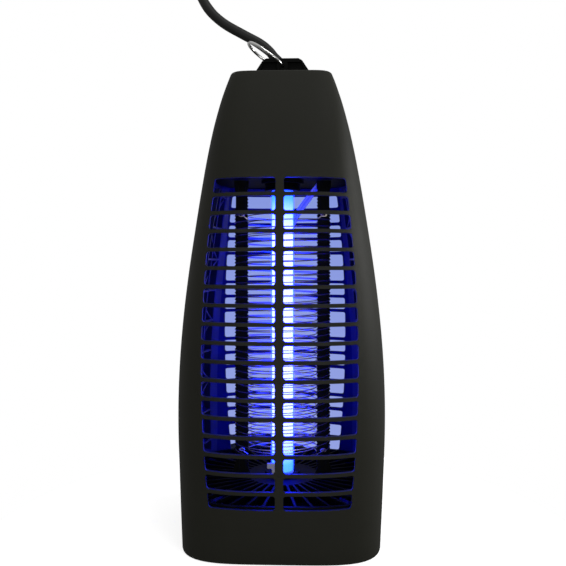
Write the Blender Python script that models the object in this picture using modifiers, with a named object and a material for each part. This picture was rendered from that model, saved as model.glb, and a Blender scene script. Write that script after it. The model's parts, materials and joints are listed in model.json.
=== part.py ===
# Electric bug zapper: a tall rounded housing moulded as a front and a rear shell, both
# with a slotted grille, around a blacklight tube, two wire electrodes held by two posts,
# a spoked floor and a catch tray that slides out below. A hanging ring swings in a
# bracket on top, where the mains cord comes out.
# Metres, +Z up, the front faces -Y, origin at the bottom centre of the housing.
import math

import bmesh
import bpy
from mathutils import Matrix, Vector

for old in list(bpy.data.objects):
    bpy.data.objects.remove(old, do_unlink=True)

# ---- driving sizes ----
LAMP_LOW = 0.032
LAMP_LENGTH = 0.212
HEAD_ROOM = 0.068
HALF_WIDTH = 0.0705
HALF_DEPTH = 0.0700
TUBE_R = 0.008
CORD_R = 0.0035
GAP = 0.0003
LAMP_TOP = LAMP_LOW + LAMP_LENGTH
HEIGHT = LAMP_TOP + HEAD_ROOM

# ---- housing ----
WALL = 0.0023
TOP_WALL = 0.0025
BELLY_POWER = 3.15
BASE_POWER = 4.4
TOP_POWER = 8.0
BASE_SHARE = 0.2
SHOULDER_SHARE = 0.6
PLAN_STEPS = 32
SPLIT = 0.5 * GAP
FIT = 2 * GAP
# share of the height, of the half width and of the half depth
PROFILE = [
    (0.000, 0.945, 0.905), (0.087, 0.971, 0.958), (0.189, 0.993, 0.990),
    (0.256, 1.000, 1.000), (0.321, 0.994, 0.999), (0.423, 0.972, 0.985),
    (0.526, 0.925, 0.955), (0.628, 0.862, 0.912), (0.731, 0.787, 0.846),
    (0.833, 0.695, 0.757), (0.936, 0.576, 0.610), (0.991, 0.492, 0.512),
    (0.998, 0.476, 0.494), (1.000, 0.452, 0.470),
]

# ---- lamp and its holders ----
CAP_R = TUBE_R + 0.0002
CAP_LENGTH = 0.006
PIN_R = 0.0012
PIN_LENGTH = 0.0066
PIN_ROOT = 0.001
PIN_SPACING = 0.0048
HOLDER_BORE_R = CAP_R + 0.0005
HOLDER_R = HOLDER_BORE_R + 0.0038
HOLDER_FLANGE_R = HOLDER_R + 0.0025
HOLDER_LIP = 0.0068
HOLDER_FLANGE = (-0.0007, 0.0018)
HOLDER_SEAT = -0.0005
HOLDER_BASE = 0.0095
HOLDER_FLOOR_T = 0.0022
PIN_WELL_R = 0.0045
LEAD_R = 0.0013
CLIP_SIZE = (0.0056, 0.0022, 0.0072)

# ---- floors ----
DECK_LOW = LAMP_TOP - HOLDER_FLANGE[0] + GAP
DECK_T = 0.0025
HUB_R = HOLDER_R + GAP
SPIDER_LOW = LAMP_LOW + HOLDER_FLANGE[1] + GAP
SPIDER_T = 0.0024
SPIDER_DISC_R = HOLDER_R + 0.0125
SPIDER_RIM = 0.0022
SPIDER_SPOKES = 40
SPOKE_WIDTH = 0.0016
TRAY_LOW = 0.0006
TRAY_HEIGHT = 0.0174
TRAY_WALL = 0.0016

# ---- grille ----
SLOT_PITCH = 0.01146
SLOT_HEIGHT = 0.0091
SLOT_TOP = DECK_LOW - 0.0056
SLOT_LOWEST = 0.0350
SLOT_ROWS = 1 + int((SLOT_TOP - SLOT_HEIGHT - SLOT_LOWEST) / SLOT_PITCH)
SLOT_REACH = HALF_WIDTH - 0.0220
SLOT_ARC_R = 0.862
SLOT_ARC_Z = 0.125
SLOT_CORNER = 0.0015
CENTRE_BAR = 0.0052

# ---- screws that hold the shells together ----
LOWER_BOSS_X = HALF_WIDTH - 0.0265
LOWER_BOSS_Z = 0.026
UPPER_BOSS_X = HALF_WIDTH - 0.0305
UPPER_BOSS_Z = HEIGHT - 0.056
BOSS_PLACES = {
    "lower_left": (-LOWER_BOSS_X, LOWER_BOSS_Z), "lower_right": (LOWER_BOSS_X, LOWER_BOSS_Z),
    "upper_left": (-UPPER_BOSS_X, UPPER_BOSS_Z), "upper_right": (UPPER_BOSS_X, UPPER_BOSS_Z),
}
BOSS_R = 0.0045
SCREW_R = 0.0015
SCREW_HEAD_R = 0.0030
SCREW_HEAD_T = 0.0022
SCREW_LENGTH = 0.024
SCREW_SEAT_Y = 0.016

# ---- electrodes ----
ELECTRODE_R = 0.0004
LEAD_ROOM = 0.0090
COILS = {"outer_electrode": (0.0335, 0.0250), "inner_electrode": (0.0245, TUBE_R + LEAD_ROOM)}
COIL_LOW = SPIDER_LOW + SPIDER_T + 0.0155
COIL_HIGH = DECK_LOW - 0.023
COIL_TURNS = 36
COIL_STEPS = 8
POST_SPARE = ELECTRODE_R + 0.0005
POST_INNER = COILS["inner_electrode"][0] + POST_SPARE
POST_OUTER = COILS["outer_electrode"][0] - POST_SPARE
POST_T = 0.0016
POST_FOOT = 0.0010
POST_FOOT_HEIGHT = 0.006
POST_TAPER = 0.010

# ---- electronics above the deck ----
BOARD_LOW = DECK_LOW + 0.017
BOARD_SIZE = (0.060, 0.050, 0.0016)
STANDOFF_R = 0.0022
STANDOFF_X = UPPER_BOSS_X - BOSS_R - STANDOFF_R - 0.0073
STANDOFF_Y = 0.021
CORE_SIZE = (0.030, 0.020, 0.021)
CORE_AT = (-0.0125, -0.005)
CORE_WINDOW = (0.0206, 0.05, 0.0126)
WINDING_SIZE = (0.0200, 0.032, 0.0120)
CAPACITOR_SIZE = (0.0150, 0.0060, 0.0120)
CAPACITOR_X = 0.0160
CAPACITOR_PLACES = {"capacitor_a": -0.014, "capacitor_b": -0.003, "capacitor_c": 0.008}
STARTER_R = 0.0060
STARTER_HEIGHT = 0.018
STARTER_AT = (-0.018, 0.0185)
TERMINAL_SIZE = (0.0160, 0.0080, 0.0095)
TERMINAL_AT = (0.0140, 0.0190)

# ---- hanger ----
BRACKET_TOP = HEIGHT + 0.0174
BRACKET_FOOT_HALF = 0.0242
BRACKET_TOP_HALF = 0.0128
BRACKET_CHAMFER = 0.0015
BRACKET_T = 0.0070
BRACKET_WEB = 0.0030
BRACKET_RIM = 0.0026
NECK_HALF = 0.020
FLANGE_SIZE = (0.046, 0.016, 0.0035)
FLANGE_DROP = 0.0010
RING_WIRE_R = 0.0010
HANG_Z = HEIGHT + 0.0119
HANG_BORE_R = RING_WIRE_R + 0.0005
HANG_BOSS_R = HANG_BORE_R + 0.0025
RING_LENGTH = 0.0290
RING_HALF = 0.0120
RING_CORNER_R = 0.0090
RING_LEAN = math.radians(55)

# ---- cord ----
CORD_EXIT = Vector((-0.002, PROFILE[-1][2] * HALF_DEPTH - 0.0109, HEIGHT))
RELIEF_STEM_R = 0.0048
RELIEF_FLANGE_R = 0.0068
RELIEF_ABOVE = 0.0095
RELIEF_BELOW = 0.0105
CORD_STEP = 0.014
CORD_ROUTE = [
    (-0.0020, 0.0220, 0.3000), (-0.0020, 0.0220, 0.3100), (-0.0020, 0.0220, 0.3195),
    (-0.0026, 0.0215, 0.3290), (-0.0062, 0.0205, 0.3388), (-0.0156, 0.0200, 0.3468),
    (-0.0294, 0.0200, 0.3544), (-0.0436, 0.0200, 0.3626), (-0.0543, 0.0208, 0.3724),
    (-0.0613, 0.0246, 0.3846), (-0.0660, 0.0328, 0.3965), (-0.0694, 0.0450, 0.4054),
    (-0.0710, 0.0585, 0.4090), (-0.0706, 0.0715, 0.4074), (-0.0668, 0.0820, 0.4012),
    (-0.0590, 0.0876, 0.3932), (-0.0485, 0.0888, 0.3860), (-0.0370, 0.0888, 0.3796),
    (-0.0235, 0.0884, 0.3714), (-0.0095, 0.0880, 0.3604), (0.0016, 0.0875, 0.3474),
    (0.0076, 0.0870, 0.3320), (0.0090, 0.0870, 0.3140), (0.0060, 0.0870, 0.2900),
    (0.0006, 0.0870, 0.2620), (-0.0026, 0.0870, 0.2360), (-0.0031, 0.0870, 0.2000),
    (-0.0031, 0.0870, 0.1400), (-0.0031, 0.0866, 0.0900), (-0.0032, 0.0854, 0.0580),
    (-0.0046, 0.0836, 0.0380), (-0.0084, 0.0824, 0.0246), (-0.0118, 0.0819, 0.0196),
]
COIL_CENTRE = (-0.020, 0.126)
COIL_RING_IN = 0.0282
COIL_RING_OUT = 0.0483
COIL_RING_T = 0.0143
COIL_RING_CHAMFER = 0.002
TAIL_ROUTE = [
    (0.0306, 0.1412, 0.0045), (0.0344, 0.1366, 0.0054), (0.0386, 0.1300, 0.0070),
    (0.0406, 0.1258, 0.0078), (0.0410, 0.1219, 0.0080),
]
PLUG_SIZE = (0.026, 0.024, 0.015)
PLUG_AT = Vector((0.0410, 0.1090, 0.0080))
PLUG_PIN_R = 0.0020
PLUG_PIN_LENGTH = 0.019
PLUG_PIN_SPACING = 0.0186

DOWN = Matrix.Rotation(math.pi, 4, 'X')
ALONG_Y = Matrix.Rotation(math.radians(-90), 4, 'X')

parts = bpy.data.collections.new("bug_zapper")
cutters = bpy.data.collections.new("cutters")
for collection in (parts, cutters):
    bpy.context.scene.collection.children.link(collection)


# ---- materials ----
def material(name, colour, roughness, metallic=0.0):
    made = bpy.data.materials.new(name)
    made.use_nodes = True
    shader = made.node_tree.nodes["Principled BSDF"]
    shader.inputs["Base Color"].default_value = (*colour, 1.0)
    shader.inputs["Roughness"].default_value = roughness
    shader.inputs["Metallic"].default_value = metallic
    return made


HOUSING = material("housing_plastic", (0.035, 0.036, 0.030), 0.55)
BLACK = material("black_plastic", (0.012, 0.012, 0.011), 0.50)
STEEL = material("steel", (0.55, 0.56, 0.58), 0.30, 1.0)
CHROME = material("chrome", (0.75, 0.75, 0.76), 0.15, 1.0)
GLASS = material("lamp_glass", (0.62, 0.80, 0.98), 0.20)
RUBBER = material("cord_rubber", (0.014, 0.014, 0.014), 0.55)
BOARD = material("board_laminate", (0.05, 0.16, 0.07), 0.50)
COPPER = material("copper_wire", (0.60, 0.26, 0.12), 0.35, 1.0)
AMBER = material("capacitor_shell", (0.45, 0.16, 0.03), 0.35)
PALE = material("pale_plastic", (0.75, 0.75, 0.72), 0.50)
GREY = material("lead_insulation", (0.30, 0.32, 0.36), 0.45)
BRASS = material("plug_brass", (0.72, 0.52, 0.22), 0.30, 1.0)


# ---- shape helpers ----
def place(name, mesh, look, matrix=None):
    """A finished part when it has a look, and a hidden cutter when it has none."""
    obj = bpy.data.objects.new(name, mesh)
    obj.matrix_world = matrix or Matrix.Identity(4)
    if look:
        mesh.materials.clear()
        mesh.materials.append(look)
        parts.objects.link(obj)
    else:
        obj.hide_render = True
        obj.display_type = 'WIRE'
        cutters.objects.link(obj)
    return obj


def mesh_from(bm, name, smooth_below=30):
    bmesh.ops.recalc_face_normals(bm, faces=bm.faces)
    mesh = bpy.data.meshes.new(name)
    bm.to_mesh(mesh)
    bm.free()
    mesh.shade_smooth()
    mesh.set_sharp_from_angle(angle=math.radians(smooth_below))
    return mesh


def box(name, size, centre, look=None, bevel=0.0, segments=1):
    bm = bmesh.new()
    bmesh.ops.create_cube(bm, size=1.0, matrix=Matrix.Diagonal((*size, 1.0)))
    obj = place(name, mesh_from(bm, name), look, Matrix.Translation(centre))
    if bevel:
        rounding = obj.modifiers.new("rounding", 'BEVEL')
        rounding.width = bevel
        rounding.segments = segments
    return obj


def rod(name, radius, length, centre, look=None, turn=None, sides=16):
    """A cylinder along Z about its centre, turned by a matrix and then moved."""
    bm = bmesh.new()
    bmesh.ops.create_cone(bm, cap_ends=True, segments=sides, radius1=radius, radius2=radius,
                          depth=length)
    matrix = Matrix.Translation(centre) @ (turn or Matrix.Identity(4))
    return place(name, mesh_from(bm, name), look, matrix)


def turned(name, profile, look, matrix=None, sides=32):
    """A profile of (radius, height) points, outer side from the top down, turned about Z."""
    mesh = bpy.data.meshes.new(name)
    closed = profile[0][0] > 0.0
    edges = [(i, i + 1) for i in range(len(profile) - 1)]
    if closed:
        edges.append((len(profile) - 1, 0))
    mesh.from_pydata([(r, 0.0, z) for r, z in profile], edges, [])
    obj = place(name, mesh, look, matrix)
    screw = obj.modifiers.new("turn", 'SCREW')
    screw.steps = sides
    screw.render_steps = sides
    screw.use_merge_vertices = True
    screw.merge_threshold = 0.00001
    return obj


def boolean(obj, other, operation):
    step = obj.modifiers.new(other.name, 'BOOLEAN')
    step.object = other
    step.operation = operation
    step.solver = 'EXACT'


def cut(obj, *others):
    for other in others:
        boolean(obj, other, 'DIFFERENCE')


def unite(obj, *others):
    for other in others:
        boolean(obj, other, 'UNION')


def curve_mesh(name, data):
    """A curve's welded mesh, for pieces that are cut or joined."""
    data_obj = bpy.data.objects.new(name, data)
    bpy.context.scene.collection.objects.link(data_obj)
    depsgraph = bpy.context.evaluated_depsgraph_get()
    mesh = bpy.data.meshes.new_from_object(data_obj.evaluated_get(depsgraph))
    bpy.data.objects.remove(data_obj, do_unlink=True)
    bm = bmesh.new()
    bm.from_mesh(mesh)
    bmesh.ops.remove_doubles(bm, verts=bm.verts, dist=0.00001)
    bpy.data.meshes.remove(mesh)
    return mesh_from(bm, name)


def flat_outlines(name, outlines, thickness, look=None, centre=(0.0, 0.0, 0.0)):
    """Outlines of (x, z) points, each filled and given a thickness along Y."""
    data = bpy.data.curves.new(name, 'CURVE')
    data.dimensions = '2D'
    data.fill_mode = 'BOTH'
    data.extrude = 0.5 * thickness
    for points in outlines:
        spline = data.splines.new('POLY')
        spline.points.add(len(points) - 1)
        for point, (x, z) in zip(spline.points, points):
            point.co = (x, z, 0.0, 1.0)
        spline.use_cyclic_u = True
    mesh = curve_mesh(name, data)
    mesh.transform(Matrix.Rotation(math.radians(90), 4, 'X'))
    return place(name, mesh, look, Matrix.Translation(centre))


def wire(name, points, radius, look, resolution=2, cyclic=False, origin=(0.0, 0.0, 0.0)):
    """A round tube through the points, as a curve with filled caps."""
    data = bpy.data.curves.new(name, 'CURVE')
    data.dimensions = '3D'
    data.bevel_depth = radius
    data.bevel_resolution = resolution
    data.use_fill_caps = True
    spline = data.splines.new('POLY')
    spline.points.add(len(points) - 1)
    for point, place_at in zip(spline.points, points):
        point.co = (*(Vector(place_at) - Vector(origin)), 1.0)
    spline.use_cyclic_u = cyclic
    data.materials.append(look)
    obj = bpy.data.objects.new(name, data)
    obj.location = origin
    parts.objects.link(obj)
    return obj


def smooth_route(points, step):
    """Points along a Catmull-Rom curve through the route, about one step apart."""
    knots = [Vector(p) for p in points]
    knots = [2 * knots[0] - knots[1], *knots, 2 * knots[-1] - knots[-2]]
    dense = []
    for a, b, c, d in zip(knots, knots[1:], knots[2:], knots[3:]):
        for i in range(16):
            t = i / 16
            dense.append(0.5 * (2 * b + (c - a) * t + (2 * a - 5 * b + 4 * c - d) * t ** 2
                                + (3 * b - a - 3 * c + d) * t ** 3))
    dense.append(knots[-2])
    length = sum((q - p).length for p, q in zip(dense, dense[1:]))
    spacing = length / max(2, round(length / step))
    picked, run = [dense[0]], 0.0
    for p, q in zip(dense, dense[1:]):
        run += (q - p).length
        if run >= spacing * len(picked) - 1e-9:
            picked.append(q)
    if (picked[-1] - dense[-1]).length > 0.5 * spacing:
        picked.append(dense[-1])
    else:
        picked[-1] = dense[-1]
    return picked


def half_sizes(z):
    """Half width and half depth of the housing at a height."""
    share = min(max(z / HEIGHT, 0.0), 1.0)
    for (low, a_low, b_low), (high, a_high, b_high) in zip(PROFILE, PROFILE[1:]):
        if share <= high:
            t = (share - low) / (high - low)
            break
    return ((a_low + (a_high - a_low) * t) * HALF_WIDTH,
            (b_low + (b_high - b_low) * t) * HALF_DEPTH)


def plan_power(z):
    """How square the housing is at a height: least at the belly, most at the top."""
    share = min(max(z / HEIGHT, 0.0), 1.0)
    up = max(share - SHOULDER_SHARE, 0.0) / (1.0 - SHOULDER_SHARE)
    down = max(1.0 - share / BASE_SHARE, 0.0)
    return (BELLY_POWER + (TOP_POWER - BELLY_POWER) * up ** 2.6
            + (BASE_POWER - BELLY_POWER) * down ** 2)


def plan_radius(z, inset, angle):
    """Distance from the axis to the squared oval |x/a|^n + |y/b|^n = 1 of a height."""
    a, b = half_sizes(z)
    power = plan_power(z)
    across = abs(math.cos(angle) / (a - inset)) ** power
    along = abs(math.sin(angle) / (b - inset)) ** power
    return (across + along) ** (-1.0 / power)


def plan_outline(z, inset):
    angles = [2 * math.pi * i / PLAN_STEPS for i in range(PLAN_STEPS)]
    return [(plan_radius(z, inset, t) * math.cos(t),
             plan_radius(z, inset, t) * math.sin(t)) for t in angles]


def plan_loft(name, levels, look=None):
    """A closed solid through the outlines at (height, outline height, inset) levels."""
    bm = bmesh.new()
    rings = []
    for z, outline_z, inset in levels:
        ring = [bm.verts.new((x, y, z)) for x, y in plan_outline(outline_z, inset)]
        rings.append(ring)
    for low, high in zip(rings, rings[1:]):
        for i in range(PLAN_STEPS):
            j = (i + 1) % PLAN_STEPS
            bm.faces.new((low[i], low[j], high[j], high[i]))
    walls = bm.faces[:]
    bm.faces.new(list(reversed(rings[0])))
    bm.faces.new(rings[-1])
    bmesh.ops.triangulate(bm, faces=walls)
    return place(name, mesh_from(bm, name), look)


# ---- housing ----
def rounded_slot(left, right, low, high):
    points = []
    corners = [(right, low, -90), (right, high, 0), (left, high, 90), (left, low, 180)]
    for x, z, start in corners:
        cx = x - SLOT_CORNER if x == right else x + SLOT_CORNER
        cz = z - SLOT_CORNER if z == high else z + SLOT_CORNER
        for t in (math.radians(start), math.radians(start + 90)):
            points.append((cx + SLOT_CORNER * math.cos(t), cz + SLOT_CORNER * math.sin(t)))
    return points


def slot_outlines():
    outlines = []
    for row in range(SLOT_ROWS):
        high = SLOT_TOP - row * SLOT_PITCH
        low = high - SLOT_HEIGHT
        off_centre = 0.5 * (low + high) - SLOT_ARC_Z
        reach = SLOT_REACH - off_centre ** 2 / (2 * SLOT_ARC_R)
        inner = 0.5 * CENTRE_BAR
        outlines.append(rounded_slot(inner, reach, low, high))
        outlines.append(rounded_slot(-reach, -inner, low, high))
    return outlines


def make_shells():
    levels = [(share * HEIGHT, share * HEIGHT, 0.0) for share, _, _ in PROFILE]
    inner_top = HEIGHT - TOP_WALL
    cavity = plan_loft("cavity", [(-0.01, 0.0, WALL)]
                       + [(z, z, WALL) for z, _, _ in levels[:-3]]
                       + [(inner_top, inner_top, WALL)])
    for side, (x, z) in BOSS_PLACES.items():
        cut(cavity, rod("boss_" + side, BOSS_R, 0.2, (x, 0.0, z), turn=ALONG_Y))
    slots = flat_outlines("slots", slot_outlines(), 0.2)
    neck = box("neck_hole", (2 * (NECK_HALF + GAP), BRACKET_T + 2 * GAP, 0.02),
               (0.0, 0.0, HEIGHT))
    cord_hole = rod("cord_hole", RELIEF_STEM_R + GAP, 0.02, CORD_EXIT)
    bores = []
    for side, (x, z) in BOSS_PLACES.items():
        bores.append(rod("head_bore_" + side, SCREW_HEAD_R + GAP, 0.08,
                         (x, SCREW_SEAT_Y + 0.04, z), turn=ALONG_Y))
        bores.append(rod("shank_bore_" + side, SCREW_R + GAP, SCREW_LENGTH + 0.006,
                         (x, SCREW_SEAT_Y - 0.5 * SCREW_LENGTH, z), turn=ALONG_Y))
    for name, direction in (("front_shell", -1.0), ("rear_shell", 1.0)):
        shell = plan_loft(name, levels, HOUSING)
        other_half = box(name + "_trim", (0.3, 0.2, 0.8),
                         (0.0, -direction * (0.1 - SPLIT), 0.0))
        cut(shell, cavity, slots, neck, other_half, cord_hole, *bores)


def make_screws():
    for side, (x, z) in BOSS_PLACES.items():
        name = "shell_screw_" + side
        low = -SCREW_LENGTH + GAP
        profile = [(0.0, SCREW_HEAD_T + GAP), (SCREW_HEAD_R, SCREW_HEAD_T + GAP),
                   (SCREW_HEAD_R, GAP), (SCREW_R, GAP), (SCREW_R, low), (0.0, low)]
        turned(name, profile, STEEL,
               Matrix.Translation((x, SCREW_SEAT_Y, z)) @ ALONG_Y, sides=14)


# ---- lamp ----
def make_lamp():
    glass_length = LAMP_LENGTH - 2 * (CAP_LENGTH + GAP)
    middle = LAMP_LOW + 0.5 * LAMP_LENGTH
    rod("lamp_tube", TUBE_R, glass_length, (0.0, 0.0, middle), GLASS, sides=32)
    for name, end, flip in (("lamp_cap_lower", LAMP_LOW, -1.0),
                            ("lamp_cap_upper", LAMP_TOP, 1.0)):
        cap = rod(name, CAP_R, CAP_LENGTH, (0.0, 0.0, end - flip * 0.5 * CAP_LENGTH), STEEL,
                  sides=32)
        for pin, x in (("a", -0.5 * PIN_SPACING), ("b", 0.5 * PIN_SPACING)):
            pin_z = end + flip * 0.5 * (PIN_LENGTH - PIN_ROOT)
            unite(cap, rod(name + "_pin_" + pin, PIN_R, PIN_LENGTH + PIN_ROOT,
                           (x, 0.0, pin_z), sides=10))


def make_lamp_holders():
    """Each holder is a cup round the lamp's cap, with its heights from the lamp's end."""
    back, front = HOLDER_FLANGE
    floor = HOLDER_FLOOR_T - HOLDER_BASE
    profile = [
        (0.0, floor), (PIN_WELL_R, floor), (PIN_WELL_R, HOLDER_SEAT),
        (HOLDER_BORE_R, HOLDER_SEAT), (HOLDER_BORE_R, HOLDER_LIP), (HOLDER_R, HOLDER_LIP),
        (HOLDER_R, front), (HOLDER_FLANGE_R, front), (HOLDER_FLANGE_R, back),
        (HOLDER_R, back), (HOLDER_R, -HOLDER_BASE), (0.0, -HOLDER_BASE),
    ]
    lower = Matrix.Translation((0.0, 0.0, LAMP_LOW))
    upper = Matrix.Translation((0.0, 0.0, LAMP_TOP)) @ DOWN
    turned("lower_lamp_holder", profile, BLACK, lower, sides=24)
    turned("upper_lamp_holder", profile, BLACK, upper, sides=24)


def make_lamp_lead():
    """The lead down behind the tube, and the clip that holds it in front of the tube."""
    behind_tube = TUBE_R + 0.0042
    behind_holder = HOLDER_R + 0.0023
    lip = LAMP_LOW + HOLDER_LIP
    route = [
        (0.0268, 0.0090, DECK_LOW - 0.0022), (0.0180, 0.0120, DECK_LOW - 0.0120),
        (0.0092, behind_tube, DECK_LOW - 0.0250), (0.0050, behind_tube, DECK_LOW - 0.0390),
        (0.0034, behind_tube, DECK_LOW - 0.0750), (0.0030, behind_tube, lip + 0.0612),
        (0.0028, behind_tube + 0.0002, lip + 0.0152),
        (0.0026, behind_holder - 0.0004, lip + 0.0022), (0.0026, behind_holder, lip - 0.0003),
    ]
    wire("lamp_lead", smooth_route(route, 0.008), LEAD_R, GREY)
    box("lead_clip", CLIP_SIZE,
        (-0.0078, -TUBE_R + 0.0006 - 0.5 * CLIP_SIZE[1], lip + 0.0003 + 0.5 * CLIP_SIZE[2]),
        PALE, bevel=0.0004)


# ---- electrodes ----
def make_electrodes():
    rise = COIL_HIGH - COIL_LOW
    for name, (a, b) in COILS.items():
        count = COIL_TURNS * COIL_STEPS
        points = []
        for i in range(count + 1):
            t = 2 * math.pi * i / COIL_STEPS
            points.append((a * math.cos(t), b * math.sin(t), COIL_LOW + rise * i / count))
        wire(name, points, ELECTRODE_R, STEEL, resolution=0)


def make_posts():
    low = SPIDER_LOW + SPIDER_T + GAP
    high = DECK_LOW - GAP
    wide_in, wide_out = POST_INNER - POST_FOOT, POST_OUTER + POST_FOOT
    outline = [
        (wide_in, low), (wide_out, low), (wide_out, low + POST_FOOT_HEIGHT),
        (POST_OUTER, low + POST_TAPER), (POST_OUTER, high - POST_TAPER),
        (wide_out, high - POST_FOOT_HEIGHT), (wide_out, high), (wide_in, high),
        (wide_in, high - POST_FOOT_HEIGHT), (POST_INNER, high - POST_TAPER),
        (POST_INNER, low + POST_TAPER), (wide_in, low + POST_FOOT_HEIGHT),
    ]
    for name, side in (("electrode_post_left", -1.0), ("electrode_post_right", 1.0)):
        flat_outlines(name, [[(side * x, z) for x, z in outline]], POST_T, BLACK)


# ---- floors ----
def make_spider():
    """A spoked plate: a disc round the lamp holder, thin spokes and a rim."""
    inset = WALL + FIT
    bm = bmesh.new()
    rows = []
    for i in range(SPIDER_SPOKES):
        middle = 2 * math.pi * i / SPIDER_SPOKES
        for side in (-1.0, 1.0):
            rim = plan_radius(SPIDER_LOW, inset, middle)
            ring = []
            for distance in (HUB_R, SPIDER_DISC_R, rim - SPIDER_RIM, rim):
                t = middle + side * math.asin(0.5 * SPOKE_WIDTH / distance)
                ring.append(bm.verts.new((distance * math.cos(t), distance * math.sin(t),
                                          SPIDER_LOW)))
            rows.append(ring)
    for i, row in enumerate(rows):
        after = rows[(i + 1) % len(rows)]
        bands = (0, 1, 2) if i % 2 == 0 else (0, 2)
        for k in bands:
            bm.faces.new((row[k], row[k + 1], after[k + 1], after[k]))
    spider = place("base_spider", mesh_from(bm, "base_spider"), BLACK)
    plate = spider.modifiers.new("thickness", 'SOLIDIFY')
    plate.thickness = SPIDER_T
    plate.offset = 1.0


def make_deck():
    high = DECK_LOW + DECK_T
    inset = WALL + FIT
    deck = plan_loft("top_deck", [(DECK_LOW, high, inset), (high, high, inset)], BLACK)
    standoff_high = BOARD_LOW - GAP
    for x in (-STANDOFF_X, STANDOFF_X):
        for y in (-STANDOFF_Y, STANDOFF_Y):
            length = standoff_high - DECK_LOW - 0.4 * DECK_T
            unite(deck, rod("standoff", STANDOFF_R, length,
                            (x, y, standoff_high - 0.5 * length), sides=12))
    cut(deck, rod("deck_hole", HUB_R, 0.02, (0.0, 0.0, DECK_LOW), sides=32))


def make_tray():
    inset = WALL + FIT
    high = TRAY_LOW + TRAY_HEIGHT
    tray = plan_loft("catch_tray", [(TRAY_LOW, 0.0, inset), (high, 0.0, inset)], BLACK)
    hollow = plan_loft("tray_hollow", [(TRAY_LOW + TRAY_WALL, 0.0, inset + TRAY_WALL),
                                       (high + 0.01, 0.0, inset + TRAY_WALL)])
    cut(tray, hollow)


# ---- electronics ----
def on_board(place_at, height):
    """The centre of a part of a height that stands on the board."""
    return (*place_at, BOARD_LOW + BOARD_SIZE[2] + GAP + 0.5 * height)


def make_electronics():
    box("circuit_board", BOARD_SIZE, (0.0, 0.0, BOARD_LOW + 0.5 * BOARD_SIZE[2]), BOARD)
    middle = on_board(CORE_AT, CORE_SIZE[2])
    core = box("ballast_core", CORE_SIZE, middle, STEEL, bevel=0.0004)
    cut(core, box("core_window", CORE_WINDOW, middle))
    box("ballast_winding", WINDING_SIZE, middle, COPPER, bevel=0.0015, segments=2)
    for name, y in CAPACITOR_PLACES.items():
        box(name, CAPACITOR_SIZE, on_board((CAPACITOR_X, y), CAPACITOR_SIZE[2]), AMBER,
            bevel=0.0012, segments=2)
    rod("lamp_starter", STARTER_R, STARTER_HEIGHT, on_board(STARTER_AT, STARTER_HEIGHT), PALE,
        sides=20)
    box("terminal_block", TERMINAL_SIZE, on_board(TERMINAL_AT, TERMINAL_SIZE[2]), PALE,
        bevel=0.0005)


# ---- hanger ----
def rounded_arc(cx, cy, radius, start, end, steps):
    for i in range(steps + 1):
        t = math.radians(start + (end - start) * i / steps)
        yield cx + radius * math.cos(t), cy + radius * math.sin(t)


def make_bracket():
    """A plate with two recessed panels and a bored boss, on a neck that passes the top."""
    low = HEIGHT + GAP
    slope = (BRACKET_FOOT_HALF - BRACKET_TOP_HALF) / (BRACKET_TOP - low)
    half = [
        (BRACKET_FOOT_HALF, low),
        (BRACKET_TOP_HALF + slope * BRACKET_CHAMFER, BRACKET_TOP - BRACKET_CHAMFER),
        (BRACKET_TOP_HALF - BRACKET_CHAMFER, BRACKET_TOP),
    ]
    outline = half + [(-x, z) for x, z in reversed(half)]
    bracket = flat_outlines("hanger_bracket", [outline], BRACKET_T, BLACK)
    flange_high = HEIGHT - TOP_WALL - FLANGE_DROP
    neck_low = flange_high - FLANGE_SIZE[2]
    neck_high = low + 0.5 * BRACKET_RIM
    unite(bracket,
          box("neck", (2 * NECK_HALF, BRACKET_T, neck_high - neck_low),
              (0.0, 0.0, 0.5 * (neck_high + neck_low))),
          box("inner_flange", FLANGE_SIZE, (0.0, 0.0, 0.5 * (flange_high + neck_low))))
    recess_low = low + BRACKET_RIM
    recess_high = BRACKET_TOP - BRACKET_RIM
    inner = HANG_BOSS_R - 0.0004
    outer_low = BRACKET_FOOT_HALF - slope * BRACKET_RIM - 2 * BRACKET_RIM
    outer_high = BRACKET_TOP_HALF + 0.2 * BRACKET_RIM
    right = [(inner, recess_low), (outer_low, recess_low), (outer_high, recess_high),
             (inner, recess_high)]
    left = [(-x, z) for x, z in right]
    depth = 0.5 * (BRACKET_T - BRACKET_WEB)
    for face in (-0.5, 0.5):
        cut(bracket, flat_outlines("recess", [right, left], 2 * depth,
                                   centre=(0.0, face * BRACKET_T, 0.0)))
    unite(bracket, rod("hang_boss", HANG_BOSS_R, BRACKET_T + 0.001, (0.0, 0.0, HANG_Z),
                       turn=ALONG_Y, sides=24))
    cut(bracket, rod("hang_bore", HANG_BORE_R, 0.02, (0.0, 0.0, HANG_Z), turn=ALONG_Y))


def make_ring():
    """A rounded closed ring through the bracket's bore, leaning to the left at rest."""
    straight = RING_HALF - RING_CORNER_R
    far = RING_LENGTH - RING_HALF
    flat = list(rounded_arc(-straight, RING_CORNER_R, RING_CORNER_R, 180, 270, 5))
    flat += list(rounded_arc(straight, RING_CORNER_R, RING_CORNER_R, 270, 360, 5))
    flat += list(rounded_arc(0.0, far, RING_HALF, 0, 180, 12))
    pivot = Vector((0.0, 0.0, HANG_Z))
    up = Vector((-math.sin(RING_LEAN), 0.0, math.cos(RING_LEAN)))
    points = [pivot + Vector((0.0, y, 0.0)) + up * run for y, run in flat]
    wire("bail_ring", points, RING_WIRE_R, CHROME, cyclic=True, origin=pivot)


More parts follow.
